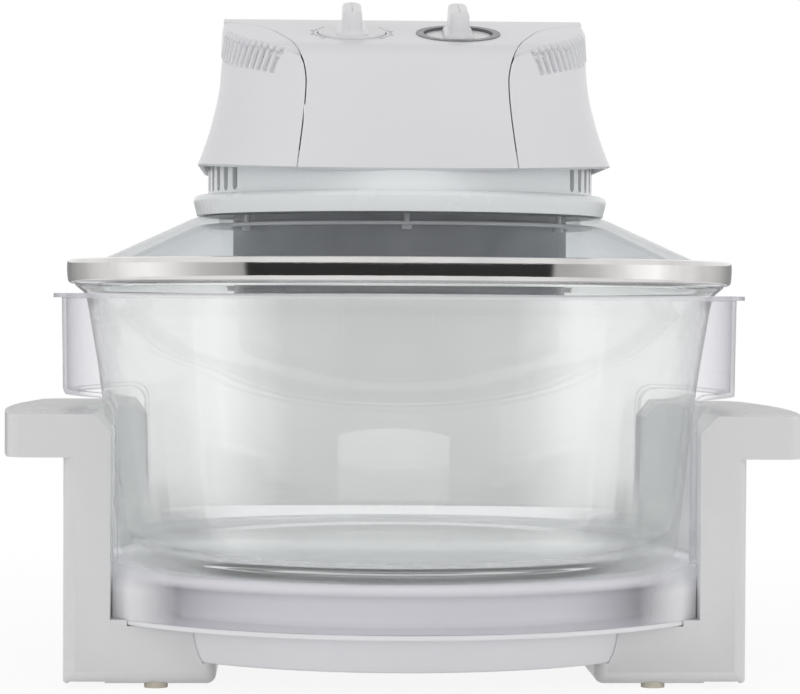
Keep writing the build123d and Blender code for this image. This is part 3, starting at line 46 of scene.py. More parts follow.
class Signal:
    # a node's output that can be added, multiplied and so on
    def __init__(self, finish, socket):
        self.finish = finish
        self.socket = socket

    def also(self, output):
        # another output of the same node
        return Signal(self.finish, self.socket.node.outputs[output])

    def math(self, operation, first, second=0.0):
        return self.finish.node("Math", {"operation": operation}, {0: first, 1: second})

    def __add__(self, other):
        return self.math("ADD", self, other)

    def __radd__(self, other):
        return self.math("ADD", other, self)

    def __sub__(self, other):
        return self.math("SUBTRACT", self, other)

    def __rsub__(self, other):
        return self.math("SUBTRACT", other, self)

    def __mul__(self, other):
        return self.math("MULTIPLY", self, other)

    def __rmul__(self, other):
        return self.math("MULTIPLY", other, self)

    def __truediv__(self, other):
        return self.math("DIVIDE", self, other)

    def __rtruediv__(self, other):
        return self.math("DIVIDE", other, self)

    def __pow__(self, power):
        return self.math("POWER", self, power)

    def __rpow__(self, base):
        return self.math("POWER", base, self)

    def __abs__(self):
        return self.math("ABSOLUTE", self)


# how the nodes are laid out in the editor
nodeLayout = {"across": 220, "down": 260, "inRow": 12}


class Finish:
    # one material, or the sky, and its nodes
    def __init__(self, name, sky=False):
        self.owner = (bpy.data.worlds if sky else bpy.data.materials).new(name)
        self.owner.use_nodes = True
        self.tree = self.owner.node_tree
        self.tree.nodes.clear()
        self.output = self.tree.nodes.new("ShaderNodeOutput" + ("World" if sky else "Material"))
        self.count = 0

    def feed(self, socket, value):
        if isinstance(value, Signal):
            self.tree.links.new(value.socket, socket)
        elif socket.type == "RGBA":
            socket.default_value = (*value, 1.0)
        else:
            socket.default_value = value

    def node(self, kind, settings=None, sockets=None, output=0):
        made = self.tree.nodes.new("ShaderNode" + kind)
        row, column = divmod(self.count, nodeLayout["inRow"])
        made.location = (-nodeLayout["across"] * column, -nodeLayout["down"] * row)
        self.count += 1
        for key, value in (settings or {}).items():
            if key == "stops":
                ramp = made.color_ramp
                while len(ramp.elements) < len(value):
                    ramp.elements.new(0.5)
                for element, (place, colour) in zip(ramp.elements, value):
                    element.position = place
                    element.color = (*colour, 1.0)
            else:
                setattr(made, key, value)
        for key, value in (sockets or {}).items():
            self.feed(made.inputs[key], value)
        return Signal(self, made.outputs[output])

    def place(self):
        return self.node("TexCoord", output="Object")

    def axes(self):
        # the place's X, with Y and Z as its other outputs
        return self.node("SeparateXYZ", {}, {0: self.place()})

    def noise(self, scale, detail=3.0, roughness=0.5, stretch=None):
        place = self.place()
        if stretch:
            place = self.node("VectorMath", {"operation": "MULTIPLY"}, {0: place, 1: stretch})
        sockets = {"Vector": place, "Scale": scale, "Detail": detail, "Roughness": roughness}
        return self.node("TexNoise", {}, sockets)

    def mix(self, share, first, second):
        return self.node("Mix", {"data_type": "RGBA"}, {0: share, 6: first, 7: second}, output=2)

    def between(self, signal, low, high, lowest=0.0, highest=1.0):
        sockets = {0: signal, 1: low, 2: high, 3: lowest, 4: highest}
        return self.node("MapRange", {}, sockets)

    def lowCorners(self, across, up):
        # 1 in the lower corners at both sides and 0 elsewhere
        spot = self.axes()
        return self.between(abs(spot), *across) * self.between(spot.also("Z"), *up)

    def bump(self, height, strength, distance, under=None):
        sockets = {"Strength": strength, "Distance": distance, "Height": height}
        if under:
            sockets["Normal"] = under
        return self.node("Bump", {}, sockets)

    def clear(self, tint):
        return self.node("BsdfTransparent", {}, {"Color": tint})

    def blend(self, share, first, second):
        return self.node("MixShader", {}, {0: share, 1: first, 2: second})

    def litThrough(self, shader, tint):
        # the lamps shine through it as through a plain tinted sheet
        return self.blend(self.node("LightPath", output="Is Shadow Ray"), shader, self.clear(tint))

    def principled(self, sockets):
        return self.node("BsdfPrincipled", {}, sockets)

    def shown(self, shader):
        self.feed(self.output.inputs["Surface"], shader)
        return self.owner


# painted light: lit and shaded copies of the one white plastic; neckWhite and baseWhite are lighter
# to make up for the shade under the head and in the base's recess, legWhite darker for the stronger
# light on the legs
mouldedSorts = {
    "headWhite": {
        "colour": (0.81, 0.81, 0.835), "shade": (0.76, 0.76, 0.785), "rough": 0.30, "grain": 0.05,
    },
    "neckWhite": {
        "colour": (0.89, 0.915, 0.925), "shade": (0.84, 0.865, 0.875), "rough": 0.26, "grain": 0.03,
    },
    "legWhite": {
        "colour": (0.76, 0.76, 0.765), "shade": (0.71, 0.71, 0.715), "rough": 0.28, "grain": 0.06,
    },
    "baseWhite": {
        "colour": (0.86, 0.86, 0.885), "shade": (0.81, 0.81, 0.835), "rough": 0.30, "grain": 0.05,
    },
    "dialWhite": {
        "colour": (0.80, 0.80, 0.81), "shade": (0.74, 0.74, 0.76), "rough": 0.28, "grain": 0.03,
    },
    "markGrey": {
        "colour": (0.10, 0.10, 0.11), "shade": (0.07, 0.07, 0.08), "rough": 0.5, "grain": 0.05,
    },
    "markPale": {
        "colour": (0.62, 0.62, 0.63), "shade": (0.55, 0.55, 0.56), "rough": 0.45, "grain": 0.05,
    },
    "ringGrey": {
        "colour": (0.19, 0.19, 0.20), "shade": (0.15, 0.15, 0.16), "rough": 0.38, "grain": 0.06,
    },
    "caseBeige": {
        "colour": (0.50, 0.48, 0.42), "shade": (0.42, 0.40, 0.35), "rough": 0.5, "grain": 0.1,
    },
    "caseBlack": {
        "colour": (0.03, 0.03, 0.032), "shade": (0.02, 0.02, 0.02), "rough": 0.45, "grain": 0.1,
    },
}

# what all moulded plastic shares; a bump is its strength and its distance in metres
moulded = {
    "cloud": {"scale": 14.0, "detail": 2.0},
    "cloudRange": (0.15, 0.85),
    "cloudRough": 0.05,
    "speck": {"scale": 2600.0, "detail": 2.0},
    "speckDistance": 0.00012,
    "hairline": {"scale": 160.0, "detail": 6.0, "roughness": 0.7, "stretch": (1.0, 1.0, 2.5)},
    "hairlineBump": (0.006, 0.0003),
    "worn": {"scale": 55.0, "detail": 7.0, "roughness": 0.65},
    "wornRange": (0.52, 0.82),
    "wornShare": 0.20,
    "wornTone": (0.86, 0.86, 0.87),
    "wornRough": 0.04,
    "index": 1.48,
    "coat": 0.12,
    "coatRough": 0.12,
}


def mouldedFinish(name):
    look = mouldedSorts[name]
    finish = Finish(name)
    cloud = finish.noise(**moulded["cloud"])
    speck = finish.noise(**moulded["speck"])
    hairline = finish.noise(**moulded["hairline"])
    worn = finish.between(finish.noise(**moulded["worn"]), *moulded["wornRange"])
    shade = finish.between(cloud, *moulded["cloudRange"])
    tone = finish.mix(shade, look["colour"], look["shade"])
    tone = finish.mix(worn * moulded["wornShare"], tone, moulded["wornTone"])
    rough = look["rough"] + (cloud - 0.5) * moulded["cloudRough"] + worn * moulded["wornRough"]
    relief = finish.bump(speck, look["grain"], moulded["speckDistance"])
    relief = finish.bump(hairline, *moulded["hairlineBump"], relief)
    return finish.shown(finish.principled({
        "Base Color": tone, "Roughness": rough, "Normal": relief, "IOR": moulded["index"],
        "Coat Weight": moulded["coat"], "Coat Roughness": moulded["coatRough"],
    }))


bowlGlass = {
    "name": "bowlClear",
    "colour": (0.988, 0.997, 0.988),
    "rough": 0.006,
    "index": 1.45,
    "ripple": {"scale": 22.0, "detail": 1.0},
    "rippleBump": (0.03, 0.0008),
    "smear": {"scale": 60.0, "detail": 5.0, "roughness": 0.6, "stretch": (1.0, 1.0, 0.4)},
    "smearRange": (0.58, 0.75),
    "smearRough": 0.03,
    # how much is seen straight through it, and how much more in the thick lower corners
    "straight": 0.06,
    "straightInCorners": 0.60,
    "cornersAcross": (0.080, 0.128),  # metres
    "cornersUp": (0.088, 0.062),
    "straightTint": (0.985, 0.995, 0.985),
    "shadowTint": (0.93, 0.95, 0.94),
}


def bowlFinish():
    # thick pressed glass: it bends what is behind it and lets the lamps through
    finish = Finish(bowlGlass["name"])
    ripple = finish.noise(**bowlGlass["ripple"])
    smear = finish.between(finish.noise(**bowlGlass["smear"]), *bowlGlass["smearRange"])
    body = finish.principled({
        "Base Color": bowlGlass["colour"], "IOR": bowlGlass["index"], "Transmission Weight": 1.0,
        "Roughness": bowlGlass["rough"] + smear * bowlGlass["smearRough"],
        "Normal": finish.bump(ripple, *bowlGlass["rippleBump"]),
    })
    corners = finish.lowCorners(bowlGlass["cornersAcross"], bowlGlass["cornersUp"])
    share = corners * bowlGlass["straightInCorners"] + bowlGlass["straight"]
    glass = finish.blend(share, body, finish.clear(bowlGlass["straightTint"]))
    return finish.shown(finish.litThrough(glass, bowlGlass["shadowTint"]))


sheerSorts = {
    "shellClear": {
        "tint": (0.985, 0.983, 0.99), "edge": (0.66, 0.65, 0.74),
        "gloss": 0.03, "power": 4.2, "most": 0.70,
    },
    "postClear": {
        "tint": (0.985, 0.985, 0.99), "edge": (0.62, 0.62, 0.66),
        "gloss": 0.02, "power": 4.0, "most": 0.20,
    },
    "lidClear": {
        "tint": (0.925, 0.937, 0.945), "edge": (0.40, 0.43, 0.44),
        "gloss": 0.03, "power": 4.5, "most": 0.70,
    },
    "lampQuartz": {
        "tint": (0.96, 0.96, 0.95), "edge": (0.45, 0.45, 0.45),
        "gloss": 0.12, "power": 2.0, "most": 0.85,
    },
}

# what all clear sheets share
sheer = {
    "middle": (0.86, 0.86, 0.88),
    "edgePower": 1.5,
    "smear": {"scale": 45.0, "detail": 5.0, "roughness": 0.6, "stretch": (1.0, 1.0, 0.3)},
    "smearRange": (0.60, 0.78),
    "smearShare": 0.03,
    "rough": 0.03,
    "smearRoughRange": (0.55, 0.75),
    "smearRough": 0.06,
    "dust": {"scale": 900.0, "detail": 2.0},
    "dustBump": (0.02, 0.0001),
    "index": 1.5,
    "specular": 0.8,
}

# the shell alone gets painted light: a pale opaque patch in its lower corners stands in for the
# bright reflections over the shaded recess behind them, and a painted highlight runs along its cut
# rim
shellPaintedLight = {
    "name": "shellClear",
    "tone": (0.92, 0.92, 0.94),
    "share": 0.85,
    "across": (0.105, 0.128),  # metres
    "up": (0.062, 0.046),
    "rim": (0.1803, 0.1809),
    "rimShare": 0.30,
}


def sheerFinish(name):
    # thin clear sheet: plain to look through, greyer where it turns away
    look = sheerSorts[name]
    finish = Finish(name)
    facing = finish.node("LayerWeight", {}, {"Blend": 0.5}, output="Facing")
    smear = finish.noise(**sheer["smear"])
    dust = finish.noise(**sheer["dust"])
    share = finish.between(facing ** look["power"], 0.0, 1.0, look["gloss"], look["most"])
    share = share + finish.between(smear, *sheer["smearRange"]) * sheer["smearShare"]
    tone = finish.mix(facing ** sheer["edgePower"], sheer["middle"], look["edge"])
    # painted light in the lower corners and a painted highlight along the rim
    if name == shellPaintedLight["name"]:
        paintedLight = finish.lowCorners(shellPaintedLight["across"], shellPaintedLight["up"])
        rim = finish.between(finish.axes().also("Z"), *shellPaintedLight["rim"])
        tone = finish.mix(paintedLight, tone, shellPaintedLight["tone"])
        share = share + paintedLight * shellPaintedLight["share"] + rim * shellPaintedLight["rimShare"]
    stain = finish.between(smear, *sheer["smearRoughRange"])
    body = finish.principled({
        "Base Color": tone, "Roughness": sheer["rough"] + stain * sheer["smearRough"],
        "IOR": sheer["index"], "Specular IOR Level": sheer["specular"],
        "Normal": finish.bump(dust, *sheer["dustBump"]),
    })
    sheet = finish.blend(share, finish.clear(look["tint"]), body)
    return finish.shown(finish.litThrough(sheet, look["tint"]))


metalSorts = {
    "bandSteel": {
        "colour": (0.71, 0.70, 0.69), "rough": 0.05, "brush": (1.0, 1.0, 60.0), "depth": 0.02,
    },
    "plainSteel": {
        "colour": (0.52, 0.52, 0.53), "rough": 0.34, "brush": (4.0, 4.0, 4.0), "depth": 0.15,
    },
    "brightSteel": {
        "colour": (0.62, 0.62, 0.63), "rough": 0.22, "brush": (1.0, 1.0, 20.0), "depth": 0.1,
    },
    "sheetAluminium": {
        "colour": (0.74, 0.74, 0.75), "rough": 0.25, "brush": (3.0, 3.0, 30.0), "depth": 0.1,
    },
    "bronze": {
        "colour": (0.52, 0.36, 0.18), "rough": 0.4, "brush": (3.0, 3.0, 3.0), "depth": 0.15,
    },
    "copper": {
        "colour": (0.60, 0.32, 0.20), "rough": 0.35, "brush": (3.0, 3.0, 3.0), "depth": 0.15,
    },
}

# what all metals share
metal = {
    "brush": {"scale": 90.0, "detail": 6.0, "roughness": 0.65},
    "brushRough": 0.06,
    "brushDistance": 0.0002,
    "stain": {"scale": 35.0, "detail": 4.0},
    "stainRange": (0.45, 0.8),
    "stainDarker": 0.82,
    "stainRoughRange": (0.55, 0.8),
    "stainRough": 0.06,
}


def metalFinish(name):
    look = metalSorts[name]
    finish = Finish(name)
    brush = finish.noise(**metal["brush"], stretch=look["brush"])
    stain = finish.noise(**metal["stain"])
    dull = finish.between(stain, *metal["stainRoughRange"]) * metal["stainRough"]
    rough = look["rough"] + (brush - 0.5) * metal["brushRough"] + dull
    darker = tuple(channel * metal["stainDarker"] for channel in look["colour"])
    tone = finish.mix(finish.between(stain, *metal["stainRange"]), look["colour"], darker)
    return finish.shown(finish.principled({
        "Base Color": tone, "Metallic": 1.0, "Roughness": rough,
        "Normal": finish.bump(brush, look["depth"], metal["brushDistance"]),
    }))


softSorts = {
    "sealGrey": {"colour": (0.20, 0.21, 0.21), "other": (0.15, 0.16, 0.16), "rough": 0.45},
    "footTan": {"colour": (0.62, 0.58, 0.49), "other": (0.52, 0.48, 0.40), "rough": 0.7},
    "fibre": {"colour": (0.62, 0.60, 0.54), "other": (0.45, 0.43, 0.38), "rough": 0.9},
    "ceramic": {"colour": (0.72, 0.70, 0.66), "other": (0.60, 0.58, 0.54), "rough": 0.6},
    # painted reflection: the heater drum is polished steel, and its near-black colour stands in for
    # the dark studio mirrored in it
    "drumDarkReflection": {"colour": (0.045, 0.048, 0.060), "other": (0.10, 0.104, 0.122), "rough": 0.24},
}

# what rubber, fibre, ceramic and the drum's painted dark reflection share
soft = {
    "cloud": {"scale": 40.0, "detail": 4.0},
    "cloudRange": (0.35, 0.7),
    "cloudRough": 0.15,
    "speck": {"scale": 1800.0, "detail": 3.0},
    "speckBump": (0.08, 0.0001),
}


def softFinish(name):
    look = softSorts[name]
    finish = Finish(name)
    cloud = finish.noise(**soft["cloud"])
    speck = finish.noise(**soft["speck"])
    share = finish.between(cloud, *soft["cloudRange"])
    return finish.shown(finish.principled({
        "Base Color": finish.mix(share, look["colour"], look["other"]),
        "Roughness": look["rough"] + (cloud - 0.5) * soft["cloudRough"],
        "Normal": finish.bump(speck, *soft["speckBump"]),
    }))


looks = {name: mouldedFinish(name) for name in mouldedSorts}
looks[bowlGlass["name"]] = bowlFinish()
looks.update({name: sheerFinish(name) for name in sheerSorts})
looks.update({name: metalFinish(name) for name in metalSorts})
looks.update({name: softFinish(name) for name in softSorts})
print("finishes:", len(looks))

nodeLooks = {
    "neckWhite": ["head_base", "hinge_arm"],
    "legWhite": ["left_leg", "right_leg", "left_handle_cover", "right_handle_cover"],
    "baseWhite": ["bottom_cover"],
    "ringGrey": ["timer_bezel"],
    "caseBeige": ["timer_unit", "thermostat_unit", "terminal_block"],
    "caseBlack": ["tilt_switch", "cord_inlet_gland"],
    "shellClear": ["outer_shell"],
    "postClear": ["hinge_post"],
    "lampQuartz": ["halogen_tube"],
    "plainSteel": [
        "base_screws", "handle_screws", "post_screws", "clamp_screws", "cover_screws", "arm_screws",
        "heater_screws", "fan_nut", "clamp_ring", "heat_shield", "motor_bracket", "fan_motor",
        "thermal_cutout",
    ],
    "brightSteel": [
        "hinge_pin", "motor_shaft", "timer_shaft", "thermostat_shaft", "guard_grille", "lamp_clips",
        "lamp_filament",
    ],
    "sheetAluminium": ["reflector", "convection_fan", "cooling_fan"],
    "bronze": ["shaft_bushes"],
    "copper": ["sensor_bulb"],
    "sealGrey": ["hub_gasket"],
    "footTan": ["rubber_feet"],
    "fibre": ["insulation_disc"],
    "ceramic": ["lamp_holders"],
}

# edges: lengths in millimetres, angles in degrees
edges = {
    "weld": 0.02,
    "segments": 3,
    "softerThan": 38.0,
    "crease": 32.0,
    # how far the edges of these nodes are softened
    "nodes": {
        "left_handle_cover": 0.3, "right_handle_cover": 0.3, "hinge_arm": 0.8, "hinge_post": 0.6,
    },
}


def smoothed(made, soften, crease):
    # smooth faces, edges that are softened this far, and creases where it turns more than this
    for face in made.data.polygons:
        face.use_smooth = True
    if soften:
        bevel = made.modifiers.new("soften", "BEVEL")
        bevel.width = soften * mm
        bevel.segments = edges["segments"]
        bevel.limit_method = "ANGLE"
        bevel.angle_limit = math.radians(edges["softerThan"])
    split = made.modifiers.new("creases", "EDGE_SPLIT")
    split.split_angle = math.radians(crease)


def dressNode(name, material):
    made = nodes[name]
    made.data.materials.clear()
    made.data.materials.append(material)
    weld = made.modifiers.new("weld", "WELD")
    weld.merge_threshold = edges["weld"] * mm
    smoothed(made, edges["nodes"].get(name, 0.0), edges["crease"])


for lookName, members in nodeLooks.items():
    for member in members:
        dressNode(member, looks[lookName])
print("nodes dressed")


def portion(value):
    return max(0.0, min(1.0, value))


bendSteps = 6


def softened(corners, loop=False, steps=bendSteps):
    # a line through (across, up, rounding) corners, curved at each one that has a rounding
    sideShare = 0.49  # a rounding never takes half of a side
    points = []
    last = len(corners) - 1
    for i, corner in enumerate(corners):
        here = Vector(corner[:2])
        rounding = corner[2] if len(corner) > 2 else 0.0
        if rounding <= 0 or (not loop and i in (0, last)):
            points.append(here)
            continue
        back = Vector(corners[i - 1][:2]) - here
        ahead = Vector(corners[(i + 1) % (last + 1)][:2]) - here
        start = here + back.normalized() * min(rounding, back.length * sideShare)
        end = here + ahead.normalized() * min(rounding, ahead.length * sideShare)
        for step in range(steps + 1):
            t = step / steps
            points.append(start * (1 - t) ** 2 + here * 2 * t * (1 - t) + end * t ** 2)
    return points


def evenly(points, spacing):
    # the same line with a point at least every so often
    line = [points[0]]
    for start, end in zip(points, points[1:]):
        pieces = max(1, math.ceil((end - start).length / spacing))
        line += [start.lerp(end, i / pieces) for i in range(1, pieces + 1)]
    return line


def weave(rows, loopAcross=False, loopUp=False):
    # one face between each four neighbouring points of the rows, which are in millimetres
    mesh = bmesh.new()
    lattice = [[mesh.verts.new(Vector(point) * mm) for point in row] for row in rows]
    up, across = len(rows), len(rows[0])
    for i in range(up if loopUp else up - 1):
        for j in range(across if loopAcross else across - 1):
            above, beside = (i + 1) % up, (j + 1) % across
            mesh.faces.new((
                lattice[i][j], lattice[i][beside], lattice[above][beside], lattice[above][j]
            ))
    return mesh


def turned(line, steps, loop):
    # the line turned about Z
    rows = []
    for i in range(steps):
        angle = 2 * math.pi * i / steps
        rows.append([(out * math.cos(angle), out * math.sin(angle), up) for out, up in line])
    return weave(rows, loop, True)


def joined(meshes):
    whole = bmesh.new()
    for mesh in meshes:
        part = bpy.data.meshes.new("part")
        mesh.to_mesh(part)
        mesh.free()
        whole.from_mesh(part)
        bpy.data.meshes.remove(part)
    return whole


def placed(name, data):
    made = bpy.data.objects.new(name, data)
    bpy.context.scene.collection.objects.link(made)
    return made


def standing(name, mesh, look, outward=None):
    # an object whose faces point outwards: away from that place, where it isn't a closed form
    mergeWithin = 0.003 * mm
    bmesh.ops.remove_doubles(mesh, verts=mesh.verts, dist=mergeWithin)
    bmesh.ops.recalc_face_normals(mesh, faces=mesh.faces)
    if outward:
        turnedAway = 0.0
        for face in mesh.faces:
            away = face.normal.dot(face.calc_center_median() - Vector(outward) * mm)
            turnedAway += face.calc_area() if away < 0 else -face.calc_area()
        if turnedAway > 0:
            bmesh.ops.reverse_faces(mesh, faces=mesh.faces)
    data = bpy.data.meshes.new(name)
    mesh.to_mesh(data)
    mesh.free()
    data.materials.append(looks[look])
    return placed(name, data)


def settle(made):
    # what the modifiers make becomes the mesh itself
    bpy.context.view_layer.update()
    shaped = made.evaluated_get(bpy.context.evaluated_depsgraph_get())
    shaped = bpy.data.meshes.new_from_object(shaped)
    made.modifiers.clear()
    made.data = shaped


def thicken(made, thickness, cutters=()):
    # a wall of this thickness inwards, cut by these
    wall = made.modifiers.new("wall", "SOLIDIFY")
    wall.thickness = thickness * mm
    wall.offset = -1.0
    for cutter in cutters:
        cut = made.modifiers.new("cut", "BOOLEAN")
        cut.operation = "DIFFERENCE"
        cut.object = cutter
        cut.solver = "EXACT"
    settle(made)
    for cutter in cutters:
        bpy.data.objects.remove(cutter)


def mounted(made, body, covers=(), soften=0.0, crease=edges["crease"]):
    # the body that carries the piece, and the nodes that it stands for
    smoothed(made, soften, crease)
    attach(made, body)
    if covers:
        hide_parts(*covers)


# lines are (across, up, rounding) in millimetres, the bowl's with its outside first, and spacing
# is the longest step along them
turnedPieces = {
    "cookingBowl": {
        "line": [
            (0, 50.15), (125.0, 50.15, 5.0), (137.2, 53.2, 4.0), (139.5, 60.0, 3.0), (142.6, 90.0),
            (145.6, 118.5, 20.0), (149.6, 148.0), (154.5, 177.0, 3.0), (156.0, 183.0, 2.0),
            (161.0, 187.0, 1.0), (160.9, 189.0, 1.3),
            (156.6, 189.0, 0.9), (155.4, 187.4, 1.2), (152.6, 183.6, 2.0), (150.5, 177.0, 3.0),
            (145.6, 148.0), (141.6, 118.5, 20.0), (138.6, 90.0), (135.5, 66.0, 5.0),
            (130.4, 58.6, 4.5), (120.0, 58.0, 4.0), (0, 58.0),
        ],
        "loop": False, "spacing": 6.0, "steps": 240, "crease": 60.0,
        "look": "bowlClear", "body": "base", "slot": "bowl_glass", "node": "glass_bowl",
    },
    "lidCone": {
        "line": [
            (90.2, 221.25, 1.0), (101.0, 221.25, 4.0), (149.9, 198.8, 4.0), (163.7, 198.8, 0.6),
            (163.7, 193.8, 0.8), (149.2, 193.8, 3.0), (100.1, 217.3, 4.0), (90.2, 217.3, 1.0),
        ],
        "loop": True, "spacing": 8.0, "steps": 240, "crease": 50.0,
        "look": "lidClear", "body": "lid", "slot": "lid_glass", "node": "lid_glass",
    },
    "rimBand": {
        "line": [
            (150.9, 199.88, 0.3), (161.6, 199.86, 1.2), (164.4, 199.5, 1.5), (164.95, 198.2, 1.2),
            (165.0, 194.6, 3.0), (164.72, 190.6, 1.0), (164.3, 188.6, 1.2), (162.0, 187.62, 0.4),
            (162.0, 188.5, 0.2), (163.4, 189.2, 0.6), (163.95, 192.0, 1.0), (163.95, 198.9, 0.3),
            (150.9, 198.95, 0.3),
        ],
        "loop": True, "bendSteps": 8, "steps": 280, "crease": 55.0,
        "look": "bandSteel", "body": "lid", "slot": "chrome", "node": "lid_rim_band",
    },
    "lidSeal": {
        "line": [
            (159.0, 189.1, 0.8), (159.0, 193.75, 0.8), (154.0, 193.75, 0.8), (154.0, 189.1, 0.8),
        ],
        "loop": True, "steps": 200,
        "look": "sealGrey", "body": "lid", "slot": "seal", "node": "lid_gasket",
    },
    "heaterCan": {
        "line": [
            (8.0, 225.97, 0.2), (81.0, 225.97, 1.5), (83.0, 224.4, 1.2), (83.0, 219.0, 0.4),
            (82.5, 218.3, 0.4), (82.5, 217.0, 0.4), (83.0, 216.3, 0.4), (83.0, 197.0, 0.4),
            (82.5, 196.3, 0.4), (82.5, 195.0, 0.4), (83.0, 194.3, 0.4), (83.0, 190.8, 0.8),
            (82.4, 190.0, 0.4), (82.0, 190.6, 0.3), (82.1, 224.8, 0.5), (80.5, 225.2, 0.5),
            (8.0, 225.2, 0.2),
        ],
        "loop": True, "spacing": 6.0, "steps": 200,
        "look": "drumDarkReflection", "body": "lid", "slot": "drum_steel", "node": "heater_drum",
    },
    "baseBand": {
        "line": [
            (0, 50.0), (144.7, 50.0, 0.5), (146.7, 52.7, 0.8), (150.9, 53.0, 1.6),
            (152.7, 50.0, 2.2), (150.7, 47.1, 1.6), (139.0, 47.0, 1.5), (137.2, 44.0, 1.5),
            (137.0, 35.0, 2.0), (139.2, 32.0, 1.0), (165.2, 32.0, 0.9), (165.3, 29.6, 0.8),
            (143.1, 29.5, 0.8), (142.5, 20.0, 7.0), (140.1, 12.0, 1.6), (137.7, 12.0, 0.4),
            (137.7, 29.5, 0.4), (134.5, 29.6, 1.0), (134.5, 47.5, 1.0), (0, 47.5),
        ],
        "loop": False, "spacing": 6.0, "steps": 240,
        "flat": 156.1,  # no wider than this to either side
        "look": "baseWhite", "body": "base", "slot": "white_plastic", "node": "base_housing",
    },
}


def makeTurnedPiece(name):
    piece = turnedPieces[name]
    line = softened(piece["line"], piece["loop"], piece.get("bendSteps", bendSteps))
    if "spacing" in piece:
        line = evenly(line, piece["spacing"])
    mesh = turned(line, piece["steps"], piece["loop"])
    if "flat" in piece:
        flat = piece["flat"] * mm
        for vert in mesh.verts:
            vert.co.x = max(-flat, min(flat, vert.co.x))
    made = standing(name, mesh, piece["look"])
    crease = piece.get("crease", edges["crease"])
    mounted(made, piece["body"], [piece["node"]], 0.0, crease)


for name in turnedPieces:
    makeTurnedPiece(name)
print("bowl, lid, drum and base turned")

# the head's outer form: heights from the floor, half widths and depths from its middle
head = {
    "skirtZ": 244.778,
    "height": 74.5,
    "skirt": 99.0,
    "waist": 91.0,
    "crown": 87.3,
    "flareShare": 0.55,
    "flarePower": 1.7,
    "lessDeep": 0.5,
    "corner": 45.0,
    "shoulder": 299.0,
    # the skirt's bottom edge hangs lower across the front
    "dip": 2.9,
    "dipUp": 30.0,
    "dipAlong": 60.0,
    # the middle cover's half width, from the skirt's height up
    "seam": [(-10.0, 52.5), (36.5, 47.2), (53.0, 50.7), (61.7, 58.8), (68.0, 70.6), (72.5, 99.0)],
    "seamGap": 0.6,
    "seamTop": (50.0, 72.5),
    "seamHalvings": 24,
    # the top from front to back, as (along, up, rounding)
    "top": [
        (-88.4, 283.0), (-87.81, 298.98, 10.4), (-20.0, 318.42, 6.0), (60.0, 314.42, 9.0),
        (90.0, 300.45),
    ],
    "topBendSteps": 10,
    "topSpacing": 1.5,
    "topSlopeBehind": -0.466,
}

topLine = evenly(softened(head["top"], False, head["topBendSteps"]), head["topSpacing"])


def dipped(x, y, z):
    low = max(0.0, 1.0 - (z - head["skirtZ"]) / head["dipUp"])
    middle = max(0.0, 1.0 - (x / head["skirt"]) ** 4)
    return z - head["dip"] * low ** 2 * portion(-y / head["dipAlong"]) * middle


def headHalf(z):
    rise = (z - head["skirtZ"]) / head["height"]
    flare = max(0.0, 1 - rise / head["flareShare"]) ** head["flarePower"]
    straight = head["waist"] + (head["crown"] - head["waist"]) * rise
    return straight + (head["skirt"] - head["waist"]) * flare


def headDeep(z):
    return headHalf(z) - head["lessDeep"]


def seamHalf(z):
    # half the width of the middle cover at this height
    knots = head["seam"]
    rise = max(knots[0][0], min(knots[-1][0], z - head["skirtZ"]))
    i = max(j for j in range(len(knots) - 1) if knots[j][0] <= rise)

    def slope(j):
        before, after = knots[max(j - 1, 0)], knots[min(j + 1, len(knots) - 1)]
        return (after[1] - before[1]) / (after[0] - before[0])

    (startRise, start), (endRise, end) = knots[i], knots[i + 1]
    span = endRise - startRise
    t = (rise - startRise) / span
    return (
        (2 * t ** 3 - 3 * t ** 2 + 1) * start + (t ** 3 - 2 * t ** 2 + t) * span * slope(i)
        + (3 * t ** 2 - 2 * t ** 3) * end + (t ** 3 - t ** 2) * span * slope(i + 1)
    )


def seamHeight(x):
    # the height at which the seam is this far from the middle, found by halving
    low, high = (head["skirtZ"] + rise for rise in head["seamTop"])
    for _ in range(head["seamHalvings"]):
        middle = (low + high) / 2
        low, high = (middle, high) if seamHalf(middle) + head["seamGap"] < x else (low, middle)
    return low


def topHeight(y):
    if y <= topLine[0].x:
        return topLine[0].y
    for start, end in zip(topLine, topLine[1:]):
        if y <= end.x:
            return start.y + (end.y - start.y) * (y - start.x) / (end.x - start.x)
    return topLine[-1].y + (y - topLine[-1].x) * head["topSlopeBehind"]


# the sloping panel and where its two dials are, at side -1 and 1
panel = {"spacing": 25.5, "middle": (-55.318, 308.295), "tilt": 16.0}


def onPanel(side):
    # from a dial's own place to the panel
    spot = Vector((side * panel["spacing"], *panel["middle"])) * mm
    return Matrix.Translation(spot) @ Matrix.Rotation(math.radians(panel["tilt"]), 4, "X")


cover = {
    "wall": 4.2,
    "soften": 0.45,
    # its line from the skirt in front, over the top, to the skirt behind
    "frontRise": 38.2,
    "frontSteps": 26,
    "topFrom": 283.3,
    "topTo": 84.0,
    "bend": (301.0, 301.9, 3.0),
    "bendEnd": 297.0,
    "backFrom": 296.0,
    "backSteps": 34,
    "acrossSteps": 64,
    "wallWithin": 0.6,  # what is this near to the wall is part of it
    "cornerFade": 18.0,  # the corners fade out this far into the top
    "outward": (0, 0, 270),
    # side, radius and depth of what is sunk into the panel
    "wells": [(-1, 16.7, 3.5), (1, 16.7, 3.5), (1, 20.25, 1.0)],
    "wellUp": 6.0,
    "wellSteps": 96,
}


